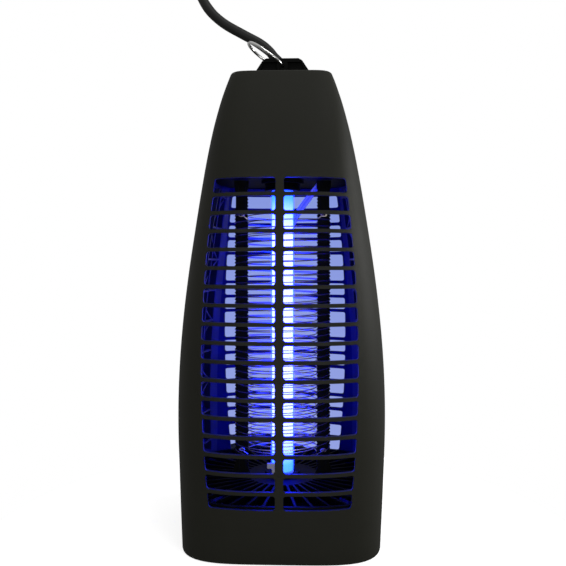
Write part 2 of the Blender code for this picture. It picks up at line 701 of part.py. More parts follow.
# ---- cord ----
def make_strain_relief():
    bore = CORD_R + GAP
    profile = [
        (bore, RELIEF_ABOVE), (bore + 0.0011, RELIEF_ABOVE), (bore + 0.0018, 0.0026),
        (RELIEF_FLANGE_R, 0.0022), (RELIEF_FLANGE_R, GAP), (RELIEF_STEM_R, GAP),
        (RELIEF_STEM_R, -RELIEF_BELOW), (bore, -RELIEF_BELOW),
    ]
    turned("cord_strain_relief", profile, BLACK, Matrix.Translation(CORD_EXIT), sides=24)


def make_cord():
    wire("mains_cord", smooth_route(CORD_ROUTE, CORD_STEP), CORD_R, RUBBER)
    wire("cord_tail", smooth_route(TAIL_ROUTE, 0.5 * CORD_STEP), CORD_R, RUBBER)
    edge = COIL_RING_CHAMFER
    ring = [(COIL_RING_IN, COIL_RING_T), (COIL_RING_OUT - edge, COIL_RING_T),
            (COIL_RING_OUT, COIL_RING_T - edge), (COIL_RING_OUT, edge),
            (COIL_RING_OUT - edge, 0.0), (COIL_RING_IN, 0.0)]
    turned("cord_coil", ring, RUBBER, Matrix.Translation((*COIL_CENTRE, 0.0)))


def make_plug():
    box("plug_body", PLUG_SIZE, PLUG_AT, RUBBER, bevel=0.0035, segments=3)
    face = PLUG_AT.y - 0.5 * PLUG_SIZE[1]
    for name, side in (("plug_pin_left", -0.5), ("plug_pin_right", 0.5)):
        centre = (PLUG_AT.x + side * PLUG_PIN_SPACING, face - GAP - 0.5 * PLUG_PIN_LENGTH,
                  PLUG_AT.z)
        rod(name, PLUG_PIN_R, PLUG_PIN_LENGTH, centre, BRASS, turn=ALONG_Y, sides=12)


make_shells()
make_screws()
make_lamp()
make_lamp_holders()
make_lamp_lead()
make_electrodes()
make_posts()
make_spider()
make_deck()
make_tray()
make_electronics()
make_bracket()
make_ring()
make_strain_relief()
make_cord()
make_plug()
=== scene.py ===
"""Looks of the electric bug zapper, built on its fixed frame of bodies and joints.

A tall housing in two moulded halves, slotted front and back, stands round a lit blacklight
tube. Two wire cages are wound on toothed posts about the tube. On top a wire ring swings in
a bracket and the mains cord comes out. Metres, +Z up, the front faces -Y.
"""
import json
import math

import bmesh
import bpy
import numpy as np
from mathutils import Matrix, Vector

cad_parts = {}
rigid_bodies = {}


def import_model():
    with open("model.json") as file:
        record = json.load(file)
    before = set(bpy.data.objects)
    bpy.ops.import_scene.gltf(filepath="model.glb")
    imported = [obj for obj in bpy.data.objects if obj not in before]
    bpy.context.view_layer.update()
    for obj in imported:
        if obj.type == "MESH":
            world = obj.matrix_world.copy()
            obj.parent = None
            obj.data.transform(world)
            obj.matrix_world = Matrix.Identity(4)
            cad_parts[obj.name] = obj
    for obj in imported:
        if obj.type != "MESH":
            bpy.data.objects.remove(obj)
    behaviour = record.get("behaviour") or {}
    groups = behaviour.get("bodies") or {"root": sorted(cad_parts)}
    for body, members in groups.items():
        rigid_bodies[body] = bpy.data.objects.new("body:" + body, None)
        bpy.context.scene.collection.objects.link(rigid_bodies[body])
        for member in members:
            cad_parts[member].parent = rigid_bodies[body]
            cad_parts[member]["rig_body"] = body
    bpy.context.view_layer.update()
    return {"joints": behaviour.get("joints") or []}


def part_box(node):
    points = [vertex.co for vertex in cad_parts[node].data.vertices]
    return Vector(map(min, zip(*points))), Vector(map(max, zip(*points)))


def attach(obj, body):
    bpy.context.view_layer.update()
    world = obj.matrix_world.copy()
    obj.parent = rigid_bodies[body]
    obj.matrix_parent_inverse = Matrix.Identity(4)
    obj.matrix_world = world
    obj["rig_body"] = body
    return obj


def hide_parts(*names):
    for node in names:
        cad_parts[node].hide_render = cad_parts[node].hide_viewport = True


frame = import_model()

MM = 0.001
TAU = 2 * math.pi
MERGE = 1e-6


# ---------------------------------------------------------------- sizes from the frame
def low_high(node):
    """A node's lowest and highest corners at rest."""
    low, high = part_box(node)
    return np.array(low), np.array(high)


shell_low, shell_high = low_high("front_shell")
HEIGHT = shell_high[2]
HALF_WIDTH = shell_high[0]
HALF_DEPTH = -shell_low[1]
WALL = 2.3 * MM
TOP_WALL = 2.5 * MM
TOP_STARTS = 290 * MM
SPLIT = 0.15 * MM
BELLY_POWER = 3.15
BASE_POWER = 4.4
TOP_POWER = 8.0
BASE_SHARE = 0.2
SHOULDER_SHARE = 0.6
EDGE_R = 1.3 * MM

# share of the height, of the half width and of the half depth
PROFILE = np.array([
    (0.000, 0.945, 0.905), (0.087, 0.971, 0.958), (0.189, 0.993, 0.990),
    (0.256, 1.000, 1.000), (0.321, 0.994, 0.999), (0.423, 0.972, 0.985),
    (0.526, 0.925, 0.955), (0.628, 0.862, 0.912), (0.731, 0.787, 0.846),
    (0.833, 0.695, 0.757), (0.936, 0.576, 0.610), (1.000, 0.478, 0.496),
])
WIDTH_CURVE = np.polyfit(PROFILE[:, 0], PROFILE[:, 1], 6)
DEPTH_CURVE = np.polyfit(PROFILE[:, 0], PROFILE[:, 2], 6)

SLOT_ROWS = 18
SLOT_PITCH = 11.46 * MM
SLOT_HEIGHT = 9.1 * MM
SLOT_TOP = 239.4 * MM
SLOT_REACH = 48.5 * MM
SLOT_ARC_R = 862 * MM
SLOT_ARC_Z = 125 * MM
SLOT_CORNER = 1.5 * MM
CENTRE_BAR = 5.2 * MM
DIMPLE_HEIGHTS = (229.0 * MM, 183.3 * MM, 114.5 * MM, 57.2 * MM)

BOSS_PLACES = [(-44 * MM, 26 * MM), (44 * MM, 26 * MM),
               (-40 * MM, 256 * MM), (40 * MM, 256 * MM)]
BOSS_R = 4.5 * MM
BOSS_GAP = 0.9 * MM
BOSS_ROUND = 0.5 * MM
INTO_WALL = 0.6 * MM
WELL_R = 3.3 * MM
SCREW_SEAT_Y = 16 * MM

lamp_low, lamp_high = low_high("lamp_tube")
TUBE_R = lamp_high[0]
PHOSPHOR_R = 7.3 * MM
PIN_HALF_APART = 2.4 * MM
LEAD_STRAND_R = 1.15 * MM

CAGE_WIRE_R = 0.36 * MM
CAGE_FRAME_R = 0.4 * MM
CAGE_TURNS = 36
TIE_WIRE_R = 0.33 * MM
TIE_HEIGHTS = (54.0 * MM, 220.5 * MM)
TIE_HOLE_X = 29.0 * MM

RIB_MIDDLE = 0.34
RIB_SPREAD = 0.26
RIB_LOW = 50 * MM
RIB_HIGH = 236 * MM

HANG_Z = next(j for j in frame["joints"] if j["name"] == "bail_swing")["pos_m"][2]
RING_LEAN = math.radians(55)
RING_WIRE_R = 1.0 * MM

CORD_R = 3.5 * MM
CORD_ROUTE = [
    (-0.0020, 0.0220, 0.3100), (-0.0020, 0.0220, 0.3195),
    (-0.0026, 0.0215, 0.3290), (-0.0062, 0.0205, 0.3388), (-0.0156, 0.0200, 0.3468),
    (-0.0294, 0.0200, 0.3544), (-0.0436, 0.0200, 0.3626), (-0.0543, 0.0208, 0.3724),
    (-0.0613, 0.0246, 0.3846), (-0.0660, 0.0328, 0.3965), (-0.0694, 0.0450, 0.4054),
    (-0.0710, 0.0585, 0.4090), (-0.0706, 0.0715, 0.4074), (-0.0668, 0.0820, 0.4012),
    (-0.0590, 0.0876, 0.3932), (-0.0485, 0.0888, 0.3860), (-0.0370, 0.0888, 0.3796),
    (-0.0235, 0.0884, 0.3714), (-0.0095, 0.0880, 0.3604), (0.0016, 0.0875, 0.3474),
    (0.0076, 0.0870, 0.3320), (0.0090, 0.0870, 0.3140), (0.0060, 0.0870, 0.2900),
    (0.0006, 0.0870, 0.2620), (-0.0026, 0.0870, 0.2360), (-0.0031, 0.0870, 0.2000),
    (-0.0031, 0.0870, 0.1400), (-0.0031, 0.0866, 0.0900), (-0.0032, 0.0854, 0.0580),
    (-0.0046, 0.0836, 0.0380), (-0.0084, 0.0824, 0.0246), (-0.0160, 0.0816, 0.0150),
]
COIL_CENTRE = (-0.020, 0.126)
COIL_OUTER = 44.6 * MM
COIL_INNER = 31.8 * MM
COIL_TURNS = 3.50
COIL_START = math.radians(-103)
BEND_LEAST = 30 * MM
TAIL_ROUTE = [
    (0.0180, 0.1528, 0.0036), (0.0265, 0.1452, 0.0041), (0.0344, 0.1366, 0.0054),
    (0.0386, 0.1300, 0.0070), (0.0406, 0.1258, 0.0078), (0.0410, 0.1214, 0.0080),
]
CORD_STEP = 2.2 * MM
CORD_EXIT_Z = 0.3195

LAMP_BLUE = 36.0
LAMP_CORE = 2.2
WORLD_LIGHT = 0.48
TABLE_GLOW = 0.72
TABLE_R = 0.205
TABLE_Y = -0.020
# the painted lamp glow: where its screen stands, and its violet tint low and high
GLOW_SCREEN_SHARE = 0.80
PAINTED_GLOW_LOW = (0.30, 0.36, 0.76)
PAINTED_GLOW_HIGH = (0.24, 0.31, 0.74)


# ---------------------------------------------------------------- shader writing
class Value:
    """A number that varies over the surface: Python operators add the Math nodes."""

    def __init__(self, nodes, socket):
        self.nodes = nodes
        self.socket = socket

    def _math(self, operation, *terms):
        node = self.nodes.node("ShaderNodeMath", {"operation": operation},
                               dict(enumerate(terms)))
        return Value(self.nodes, node.outputs[0])

    def __add__(self, other):
        return self._math("ADD", self, other)

    def __radd__(self, other):
        return self._math("ADD", other, self)

    def __sub__(self, other):
        return self._math("SUBTRACT", self, other)

    def __rsub__(self, other):
        return self._math("SUBTRACT", other, self)

    def __mul__(self, other):
        return self._math("MULTIPLY", self, other)

    def __rmul__(self, other):
        return self._math("MULTIPLY", other, self)

    def __truediv__(self, other):
        return self._math("DIVIDE", self, other)

    def __lt__(self, other):
        return self._math("LESS_THAN", self, other)

    def root(self):
        return self._math("SQRT", self)

    def wave(self):
        return self._math("SINE", self)

    def size(self):
        return self._math("ABSOLUTE", self)

    def clipped(self):
        return self._math("MINIMUM", self._math("MAXIMUM", self, 0.0), 1.0)


class Nodes:
    """A node tree with one way to add a node, and a blend of two colours."""

    def __init__(self, tree):
        self.tree = tree

    def node(self, kind, settings=None, sockets=None):
        """Any node: its settings first, then the values or links of its sockets."""
        made = self.tree.nodes.new(kind)
        for name, value in (settings or {}).items():
            setattr(made, name, value)
        for key, value in (sockets or {}).items():
            socket = made.inputs[key]
            if isinstance(value, Value):
                self.tree.links.new(value.socket, socket)
            elif isinstance(value, bpy.types.NodeSocket):
                self.tree.links.new(value, socket)
            else:
                socket.default_value = value
        return made

    def blend(self, factor, first, second):
        """A colour between two colours, by a value."""
        made = self.node("ShaderNodeMix", {"data_type": "RGBA"},
                         {"Factor": factor, 6: (*first, 1.0), 7: (*second, 1.0)})
        return made.outputs[2]

    def axes(self, place=None):
        """The three parts of a place, which is the object's own coordinates if not given."""
        place = place or self.node("ShaderNodeTexCoord").outputs["Object"]
        split = self.node("ShaderNodeSeparateXYZ", sockets={0: place})
        return [Value(self, output) for output in split.outputs]


class Finish(Nodes):
    """One material: a Principled shader with even values and the nodes that vary it."""

    def __init__(self, name, colour, roughness, metallic=0.0, **even):
        self.material = bpy.data.materials.new(name)
        self.material.use_nodes = True
        super().__init__(self.material.node_tree)
        self.shader = self.tree.nodes["Principled BSDF"]
        self.even("Base Color", (*colour, 1.0))
        self.even("Roughness", roughness)
        self.even("Metallic", metallic)
        for socket, value in even.items():
            self.even(socket.replace("_", " "), value)

    def even(self, socket, value):
        """The same value all over the surface."""
        self.shader.inputs[socket].default_value = value

    def coordinates(self):
        """The object's own coordinates."""
        return self.node("ShaderNodeTexCoord").outputs["Object"]

    def noise(self, scale, detail=3.0, stretch=None):
        """A cloudy value, stretched along the axes where asked."""
        place = self.coordinates()
        if stretch:
            place = self.node("ShaderNodeMapping", sockets={"Vector": place, "Scale": stretch})
            place = place.outputs[0]
        made = self.node("ShaderNodeTexNoise", sockets={
            "Vector": place, "Scale": scale, "Detail": detail, "Roughness": 0.55})
        return Value(self, made.outputs["Fac"])

    def cells(self, scale):
        """Distance from the middles of scattered cells."""
        made = self.node("ShaderNodeTexVoronoi", sockets={
            "Vector": self.coordinates(), "Scale": scale, "Randomness": 1.0})
        return Value(self, made.outputs["Distance"])

    def drive(self, socket, value):
        """A varying value into one of the shader's sockets."""
        source = value.socket if isinstance(value, Value) else value
        self.tree.links.new(source, self.shader.inputs[socket])

    def relief(self, height, distance, strength):
        """Small bumps from a varying height."""
        bump = self.node("ShaderNodeBump", sockets={
            "Height": height, "Distance": distance, "Strength": strength})
        self.drive("Normal", bump.outputs[0])


def housing_finish():
    """Olive-charcoal moulding with a fine spark-eroded grain and dimples on the mid bar: dents in
    the surface, with painted shade darkening their rings.
    """
    made = Finish("housing_plastic", (0.0170, 0.0172, 0.0118), 0.56, Specular_IOR_Level=0.22)
    grain = made.cells(2600.0)
    cloud = made.noise(38.0, 4.0)
    speck = made.noise(900.0, 2.0)
    x, y, z = made.axes()
    dimple_r, dimple_edge = 1.0 * MM, 0.3 * MM
    dimples = 0.0
    for height in DIMPLE_HEIGHTS:
        rise = z - height
        apart = (x * x + rise * rise).root()
        ring = (1.0 - (apart - dimple_r).size() / dimple_edge).clipped()
        dimples = ring + dimples
    # the dimples' rings pull the base colour darker: painted shade in the dents
    made.drive("Base Color", made.blend((cloud * 0.7 + speck * 0.3 - dimples * 0.5).clipped(),
                                        (0.0130, 0.0132, 0.0090), (0.0205, 0.0208, 0.0145)))
    made.drive("Roughness", 0.50 + cloud * 0.10 + grain * 0.08)
    made.relief(grain * 0.6 + speck * 0.5 - dimples * 2.5, 0.00008, 0.55)
    return made.material


def inner_finish_painted_blue_light():
    """The same plastic inside, smoother and blacker, with the lamp's blue light painted into its
    colour as a deep blue mottle.
    """
    made = Finish("inner_plastic_painted_blue_light", (0.01, 0.01, 0.02), 0.42, Specular_IOR_Level=0.30)
    cloud = made.noise(60.0, 3.0)
    # painted lamp light: the base colour runs deep blue where the plastic itself is olive-black
    made.drive("Base Color", made.blend(cloud, (0.004, 0.008, 0.050), (0.009, 0.015, 0.100)))
    made.drive("Roughness", 0.36 + cloud * 0.14)
    made.relief(made.noise(1500.0, 2.0), 0.00005, 0.4)
    return made.material


def black_finish():
    """Black satin moulding, with faint flow marks."""
    made = Finish("satin_black", (0.003, 0.003, 0.003), 0.60, Specular_IOR_Level=0.07)
    cloud = made.noise(120.0, 4.0, stretch=(1.0, 1.0, 0.3))
    made.drive("Base Color", made.blend(cloud, (0.0022, 0.0023, 0.0022), (0.0050, 0.0052, 0.0050)))
    made.drive("Roughness", 0.52 + cloud * 0.16)
    made.relief(made.noise(1800.0, 2.0), 0.00006, 0.35)
    return made.material


def steel_finish(name, colour):
    """Drawn steel, streaked and slightly dulled."""
    made = Finish(name, colour, 0.34, 1.0)
    streak = made.noise(700.0, 3.0, stretch=(1.0, 1.0, 6.0))
    dark = tuple(0.72 * c for c in colour)
    made.drive("Base Color", made.blend(streak, dark, colour))
    made.drive("Roughness", 0.26 + streak * 0.20)
    made.relief(streak, 0.00002, 0.4)
    return made.material


def chrome_finish():
    """Bright plated wire with hairline scuffs."""
    made = Finish("chrome", (0.86, 0.86, 0.84), 0.10, 1.0)
    scuff = made.noise(420.0, 4.0, stretch=(3.0, 1.0, 1.0))
    made.drive("Base Color", made.blend(scuff, (0.78, 0.78, 0.75), (0.93, 0.93, 0.92)))
    made.drive("Roughness", 0.06 + scuff * 0.12)
    return made.material


def lit_length(made, unlit, fade, mottle_scale, mottle_depth):
    """1 along the lit tube and 0 at its ends, over a fade's length, with a faint mottle."""
    x, y, z = made.axes()
    low_end = ((z - lamp_low[2] - unlit) / fade).clipped()
    high_end = ((lamp_high[2] - unlit - z) / fade).clipped()
    mottle = made.noise(mottle_scale, 2.0, stretch=(1.0, 1.0, 0.2))
    return (low_end * high_end * (mottle * mottle_depth + (1 - mottle_depth))).clipped()


def lamp_finish():
    """Thin blue filter glass, alight in deep blue, darker at its two ends."""
    made = Finish("lamp_glass", (0.20, 0.35, 0.95), 0.10, Emission_Strength=LAMP_BLUE, Alpha=0.42)
    lit = lit_length(made, 0.0, 12 * MM, 90.0, 0.10)
    made.drive("Emission Color", made.blend(lit, (0.0006, 0.004, 0.05), (0.002, 0.012, 1.00)))
    return made.material


def core_finish():
    """The glowing phosphor inside the glass: near white along the middle, cyan at its ends."""
    made = Finish("lamp_core", (0.8, 0.9, 1.0), 0.6, Emission_Strength=LAMP_CORE)
    lit = lit_length(made, 6 * MM, 22 * MM, 120.0, 0.12)
    made.drive("Emission Color", made.blend(lit, (0.03, 0.24, 0.70), (0.78, 0.80, 1.00)))
    return made.material


def cord_finish():
    """Black rubber sheath, with a faint mottle and a fine grain."""
    made = Finish("cord_rubber", (0.010, 0.0105, 0.0095), 0.50, Specular_IOR_Level=0.4)
    cloud = made.noise(150.0, 4.0)
    made.drive("Base Color", made.blend(cloud, (0.0075, 0.008, 0.007), (0.015, 0.0155, 0.0140)))
    made.drive("Roughness", 0.42 + cloud * 0.18)
    made.relief(made.noise(1400.0, 2.0), 0.00007, 0.4)
    return made.material


def resin_finish(name, dark, light, roughness):
    """A plain moulding or coating with a slight mottle."""
    made = Finish(name, light, roughness)
    cloud = made.noise(500.0, 3.0)
    made.drive("Base Color", made.blend(cloud, dark, light))
    made.drive("Roughness", roughness - 0.06 + cloud * 0.12)
    made.relief(cloud, 0.00004, 0.3)
    return made.material


def board_finish():
    """Green solder mask over copper tracks."""
    made = Finish("board_laminate", (0.03, 0.13, 0.05), 0.35)
    x, y, z = made.axes()
    tracks = ((x * 900.0 + made.noise(90.0) * 5.0).wave() + 0.2 < 0.0)
    made.drive("Base Color", made.blend(tracks, (0.02, 0.09, 0.035), (0.05, 0.20, 0.08)))
    made.relief(tracks, 0.00005, 0.5)
    return made.material


def winding_finish():
    """Enamelled copper wire in close turns, with painted shade in the grooves between the turns
    and a painted highlight along each turn.
    """
    made = Finish("copper_wire", (0.62, 0.27, 0.12), 0.32, 1.0)
    x, y, z = made.axes()
    turns = (y * 12000.0).wave() * 0.5 + 0.5
    # painted shade between the turns and a painted highlight on them, by the same wave as the
    # bumps
    made.drive("Base Color", made.blend(turns, (0.25, 0.09, 0.04), (0.70, 0.32, 0.15)))
    made.relief(turns, 0.0002, 0.8)
    return made.material


# each look: the record's slot and the material
LOOKS = {
    "housing": ("housing_plastic", housing_finish()),
    # the inside: the housing's plastic with the lamp's blue light painted into its colour
    "inner": ("housing_plastic", inner_finish_painted_blue_light()),
    "black": ("black_plastic", black_finish()),
    "steel": ("steel", steel_finish("drawn_steel", (0.92, 0.82, 0.66))),
    "chrome": ("chrome", chrome_finish()),
    "lamp": ("lamp_glass", lamp_finish()),
    "core": ("lamp_glass", core_finish()),
    "cord": ("cord_rubber", cord_finish()),
    "brass": ("plug_brass", steel_finish("turned_brass", (0.74, 0.55, 0.26))),
    "pale": ("pale_plastic",
             resin_finish("pale_moulding", (0.60, 0.60, 0.57), (0.76, 0.76, 0.72), 0.45)),
    "grey": ("lead_insulation",
             resin_finish("lead_sheath", (0.40, 0.42, 0.46), (0.55, 0.57, 0.60), 0.40)),
    "amber": ("capacitor_shell",
              resin_finish("dipped_resin", (0.36, 0.12, 0.02), (0.50, 0.19, 0.04), 0.28)),
    "board": ("board_laminate", board_finish()),
    "copper": ("copper_wire", winding_finish()),
}


# ---------------------------------------------------------------- mesh making
def sound_mesh(name, points, faces):
    """A mesh with its doubles merged and its faces pointing outwards."""
    mesh = bpy.data.meshes.new(name)
    mesh.from_pydata(np.asarray(points).tolist(), [], [list(map(int, f)) for f in faces])
    bm = bmesh.new()
    bm.from_mesh(mesh)
    bmesh.ops.remove_doubles(bm, verts=bm.verts, dist=MERGE)
    bmesh.ops.recalc_face_normals(bm, faces=bm.faces)
    bm.to_mesh(mesh)
    bm.free()
    return mesh


def placed(name, data):
    """An object at the origin that holds a mesh, a light or a camera."""
    obj = bpy.data.objects.new(name, data)
    bpy.context.scene.collection.objects.link(obj)
    return obj


def soften(obj, width, segments, angle):
    """Rounded edges wherever two faces meet at more than the angle."""
    rounding = obj.modifiers.new("rounding", 'BEVEL')
    rounding.width = width
    rounding.segments = segments
    rounding.limit_method = 'ANGLE'
    rounding.angle_limit = math.radians(angle)


def piece(name, points, faces, look, body="housing", bevel=0.0, smooth=35,
          replaces=(), segments=2):
    """A finished object at the origin from points and faces, on a body of the frame."""
    mesh = sound_mesh(name, points, faces)
    mesh.shade_smooth()
    mesh.set_sharp_from_angle(angle=math.radians(smooth))
    mesh.materials.append(LOOKS[look][1])
    obj = placed(name, mesh)
    if bevel:
        soften(obj, bevel, segments, 38)
    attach(obj, body)
    if replaces:
        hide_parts(*replaces)
    return obj


def grid_quads(rows, columns, closed_rows=False, closed_columns=False):
    """Corner numbers of the quads on a grid of points, closed on itself where asked."""
    i, j = np.meshgrid(np.arange(rows if closed_rows else rows - 1),
                       np.arange(columns if closed_columns else columns - 1), indexing="ij")
    i_next, j_next = (i + 1) % rows, (j + 1) % columns
    corners = [i * columns + j, i * columns + j_next,
               i_next * columns + j_next, i_next * columns + j]
    return np.stack(corners, -1).reshape(-1, 4)


def joined(*shapes):
    """Several (points, faces) shapes as one."""
    points, faces, count = [], [], 0
    for shape_points, shape_faces in shapes:
        points.append(np.asarray(shape_points))
        faces += [[count + int(k) for k in face] for face in shape_faces]
        count += len(shape_points)
    return np.vstack(points), faces


def revolved(profile, centre=(0, 0, 0), axis="z", sides=64):
    """A closed profile of (radius, height) points turned about an axis; a point on the
    axis becomes a pole."""
    profile = np.asarray(profile, float)
    turn = np.arange(sides) * TAU / sides
    r, h = profile[:, 0][:, None], profile[:, 1][:, None]
    ring = (r * np.cos(turn), r * np.sin(turn), h + 0 * turn)
    order = {"z": (0, 1, 2), "y": (0, 2, 1)}[axis]
    points = np.stack([ring[k] for k in order], -1).reshape(-1, 3) + centre
    return points, grid_quads(len(profile), sides, closed_rows=True, closed_columns=True)


def slab(outline, low, high):
    """A flat outline of (x, z) points between two distances along Y."""
    outline = np.asarray(outline, float)
    count = len(outline)
    x, z = np.tile(outline, (2, 1)).T
    y = np.repeat([low, high], count)
    i = np.arange(count)
    walls = np.stack([i, (i + 1) % count, (i + 1) % count + count, i + count], -1)
    faces = [list(i[::-1]), list(i + count)] + walls.tolist()
    return np.stack([x, y, z], -1), faces


def arc(centre_u, centre_v, radius, start, end, count):
    """Points on a circle between two directions in degrees."""
    t = np.radians(np.linspace(start, end, count))
    return np.stack([centre_u + radius * np.cos(t), centre_v + radius * np.sin(t)], -1)


def swept_frames(path, closed=False):
    """Two unit vectors across a path at each point, carried along without twist."""
    if closed:
        ahead = np.roll(path, -1, 0) - np.roll(path, 1, 0)
    else:
        ahead = np.gradient(path, axis=0)
    ahead /= np.linalg.norm(ahead, axis=1)[:, None]
    start = np.array([0.0, 1.0, 0.0]) if abs(ahead[0][1]) < 0.9 else np.array([1.0, 0.0, 0.0])
    side = [np.cross(ahead[0], start)]
    for direction in ahead[1:]:
        carried = side[-1] - direction * np.dot(side[-1], direction)
        side.append(carried / np.linalg.norm(carried))
    side = np.array(side)
    side /= np.linalg.norm(side, axis=1)[:, None]
    return side, np.cross(ahead, side)


def tube(path, radius, sides, closed=False, offset=0.0):
    """A round tube about a path: a circle of the radius carried along it. Offset moves it
    sideways, for strands that run side by side, and open ends close in a pole."""
    path = np.asarray(path, float)
    side, up = swept_frames(path, closed)
    path = path + side * offset
    radius = np.broadcast_to(radius, len(path)).astype(float)
    if not closed:
        path = np.vstack([path[:1], path, path[-1:]])
        side, up = (np.vstack([v[:1], v, v[-1:]]) for v in (side, up))
        radius = np.concatenate([[0.0], radius, [0.0]])
    turn = np.arange(sides) * TAU / sides
    around = (side[:, None] * np.cos(turn)[None, :, None]
              + up[:, None] * np.sin(turn)[None, :, None])
    points = path[:, None] + around * radius[:, None, None]
    faces = grid_quads(len(path), sides, closed_rows=closed, closed_columns=True)
    return points.reshape(-1, 3), faces


def smooth_path(route, per_span=12):
    """A Catmull-Rom curve through the route's points."""
    knots = np.asarray(route, float)
    knots = np.vstack([2 * knots[0] - knots[1], knots, 2 * knots[-1] - knots[-2]])
    a, b, c, d = (knots[i:len(knots) - 3 + i][:, None] for i in range(4))
    t = (np.arange(per_span) / per_span)[None, :, None]
    curve = 0.5 * (2 * b + (c - a) * t + (2 * a - 5 * b + 4 * c - d) * t ** 2
                   + (3 * b - a - 3 * c + d) * t ** 3)
    return np.vstack([curve.reshape(-1, 3), knots[-2]])


def even_path(path, step):
    """The path's points again, an even step apart."""
    run = np.concatenate([[0.0], np.cumsum(np.linalg.norm(np.diff(path, axis=0), axis=1))])
    places = np.linspace(0.0, run[-1], int(round(run[-1] / step)) + 1)
    return np.stack([np.interp(places, run, path[:, k]) for k in range(3)], -1)


def eased(path, least):
    """The path with its tight bends opened: where three points four steps apart lie on a circle
    smaller than the least radius, the points around drift to the middle of their neighbours."""
    path = path.copy()
    window = np.hanning(15)
    window /= window.sum()
    for _ in range(260):
        a, b, c = path[:-8], path[4:-4], path[8:]
        ab, bc, ca = (np.linalg.norm(v, axis=1) for v in (b - a, c - b, a - c))
        area = 0.5 * np.linalg.norm(np.cross(b - a, c - a), axis=1)
        tight = np.clip(least * 4 * area / (ab * bc * ca) - 1, 0, 0.5) * 2
        pull = np.minimum(np.convolve(tight, window, "same") * 3, 1)[:, None]
        path[4:-4] += 0.5 * pull * (0.5 * (path[3:-5] + path[5:-3]) - b)
    return path


def refined(node, look, bevel, segments=2):
    """A CAD node's own shape, merged into flat faces, with its edges rounded."""
    source = bpy.data.objects[node]
    bm = bmesh.new()
    bm.from_mesh(source.data)
    bmesh.ops.transform(bm, matrix=source.matrix_world, verts=bm.verts)
    bmesh.ops.remove_doubles(bm, verts=bm.verts, dist=MERGE)
    bmesh.ops.dissolve_limit(bm, angle_limit=math.radians(1.5), verts=bm.verts, edges=bm.edges)
    bm.verts.index_update()
    points = [tuple(v.co) for v in bm.verts]
    faces = [[v.index for v in face.verts] for face in bm.faces]
    bm.free()
    return piece(node + "_fine", points, faces, look, source["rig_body"], bevel=bevel,
                 segments=segments, replaces=(node,))


# ---------------------------------------------------------------- housing
def half_sizes(z):
    """Half width and half depth at a height, from smooth curves through the profile."""
    share = np.clip(np.asarray(z) / HEIGHT, 0.0, 1.0)
    return (np.polyval(WIDTH_CURVE, share) * HALF_WIDTH,
            np.polyval(DEPTH_CURVE, share) * HALF_DEPTH)


def plan_power(z):
    """How square the housing is at a height: least at the belly, most at the top."""
    share = np.clip(np.asarray(z) / HEIGHT, 0.0, 1.0)
    up = np.clip(share - SHOULDER_SHARE, 0.0, 1.0) / (1.0 - SHOULDER_SHARE)
    down = np.clip(1.0 - share / BASE_SHARE, 0.0, 1.0)
    return (BELLY_POWER + (TOP_POWER - BELLY_POWER) * up ** 2.6
            + (BASE_POWER - BELLY_POWER) * down ** 2)


def face_depth(x, a, b, n):
    """Distance of the squared oval |x/a|^n + |y/b|^n = 1 from the X axis at an x."""
    return b * (1.0 - np.abs(x / a) ** n) ** (1.0 / n)


def oval_radius(a, b, n, angle):
    """Distance of the same oval from its centre in a direction."""
    return (np.abs(np.cos(angle) / a) ** n + np.abs(np.sin(angle) / b) ** n) ** (-1.0 / n)


def slot_reach(z):
    """Outer end of a slot: an arc that is widest at the belly."""
    return SLOT_REACH - (z - SLOT_ARC_Z) ** 2 / (2 * SLOT_ARC_R)


def shell_rows():
    """Heights, edge insets and cap shares of the shell's rows, with the rows that bound
    each slot kept in place."""
    lowest = SLOT_TOP - (SLOT_ROWS - 1) * SLOT_PITCH - SLOT_HEIGHT
    heights = list(np.linspace(0.0, lowest, 9)[:-1])
    slot_starts = []
    for row in range(SLOT_ROWS):
        low = lowest + row * SLOT_PITCH
        slot_starts.append(len(heights))
        heights += [low, low + SLOT_CORNER, low + 0.5 * SLOT_HEIGHT,
                    low + SLOT_HEIGHT - SLOT_CORNER, low + SLOT_HEIGHT]
    heights += list(np.linspace(SLOT_TOP, HEIGHT - EDGE_R, 20)[1:])
    turn = np.radians(np.linspace(0, 90, 7)[1:])
    insets = [0.0] * len(heights) + list(EDGE_R * (1 - np.cos(turn)))
    heights += list(HEIGHT - EDGE_R + EDGE_R * np.sin(turn))
    shares = [1.0] * len(heights) + [0.94, 0.80, 0.60, 0.40, 0.22, 0.10]
    insets += [EDGE_R] * 6
    heights += [HEIGHT] * 6
    return np.array(heights), np.array(insets), np.array(shares), np.array(slot_starts)


def shell_surface(z, inset, share, wall, ends):
    """One half of the housing's skin. Across the slots a column keeps its x and takes its
    depth from the plan oval; past their ends it runs round the corner by angle."""
    a, b = half_sizes(z)
    a, b = (a - inset - wall) * share, (b - inset - wall) * share
    n = plan_power(z)[:, None]
    bar = 0.5 * CENTRE_BAR
    t = np.linspace(0, 1, 12)[None, 1:-1]
    first = np.stack([0 * z, 0 * z + bar, 0 * z + bar + SLOT_CORNER], -1)
    span = (ends - 2 * SLOT_CORNER - bar)[:, None]
    middle = bar + SLOT_CORNER + span * t
    last = np.stack([ends - SLOT_CORNER, ends], -1)
    x = np.hstack([first, middle, last]) * share[:, None]
    y = face_depth(x, a[:, None], b[:, None], n)
    begin = np.arctan2(y[:, -1], x[:, -1])[:, None]
    stop = (SPLIT / a)[:, None]
    angle = begin + (stop - begin) * np.linspace(0, 1, 17)[None, 1:]
    radius = oval_radius(a[:, None], b[:, None], n, angle)
    x = np.hstack([x, radius * np.cos(angle)])
    y = np.hstack([y, radius * np.sin(angle)])
    x = np.hstack([-x[:, :0:-1], x])
    y = np.hstack([y[:, :0:-1], y])
    drop = 0 * z
    if wall:
        drop = TOP_WALL * np.clip((z - TOP_STARTS) / (HEIGHT - TOP_STARTS), 0, 1)
    height = np.broadcast_to((z - drop)[:, None], x.shape)
    return np.stack([x, y, height], -1), first.shape[1] + middle.shape[1] + 1


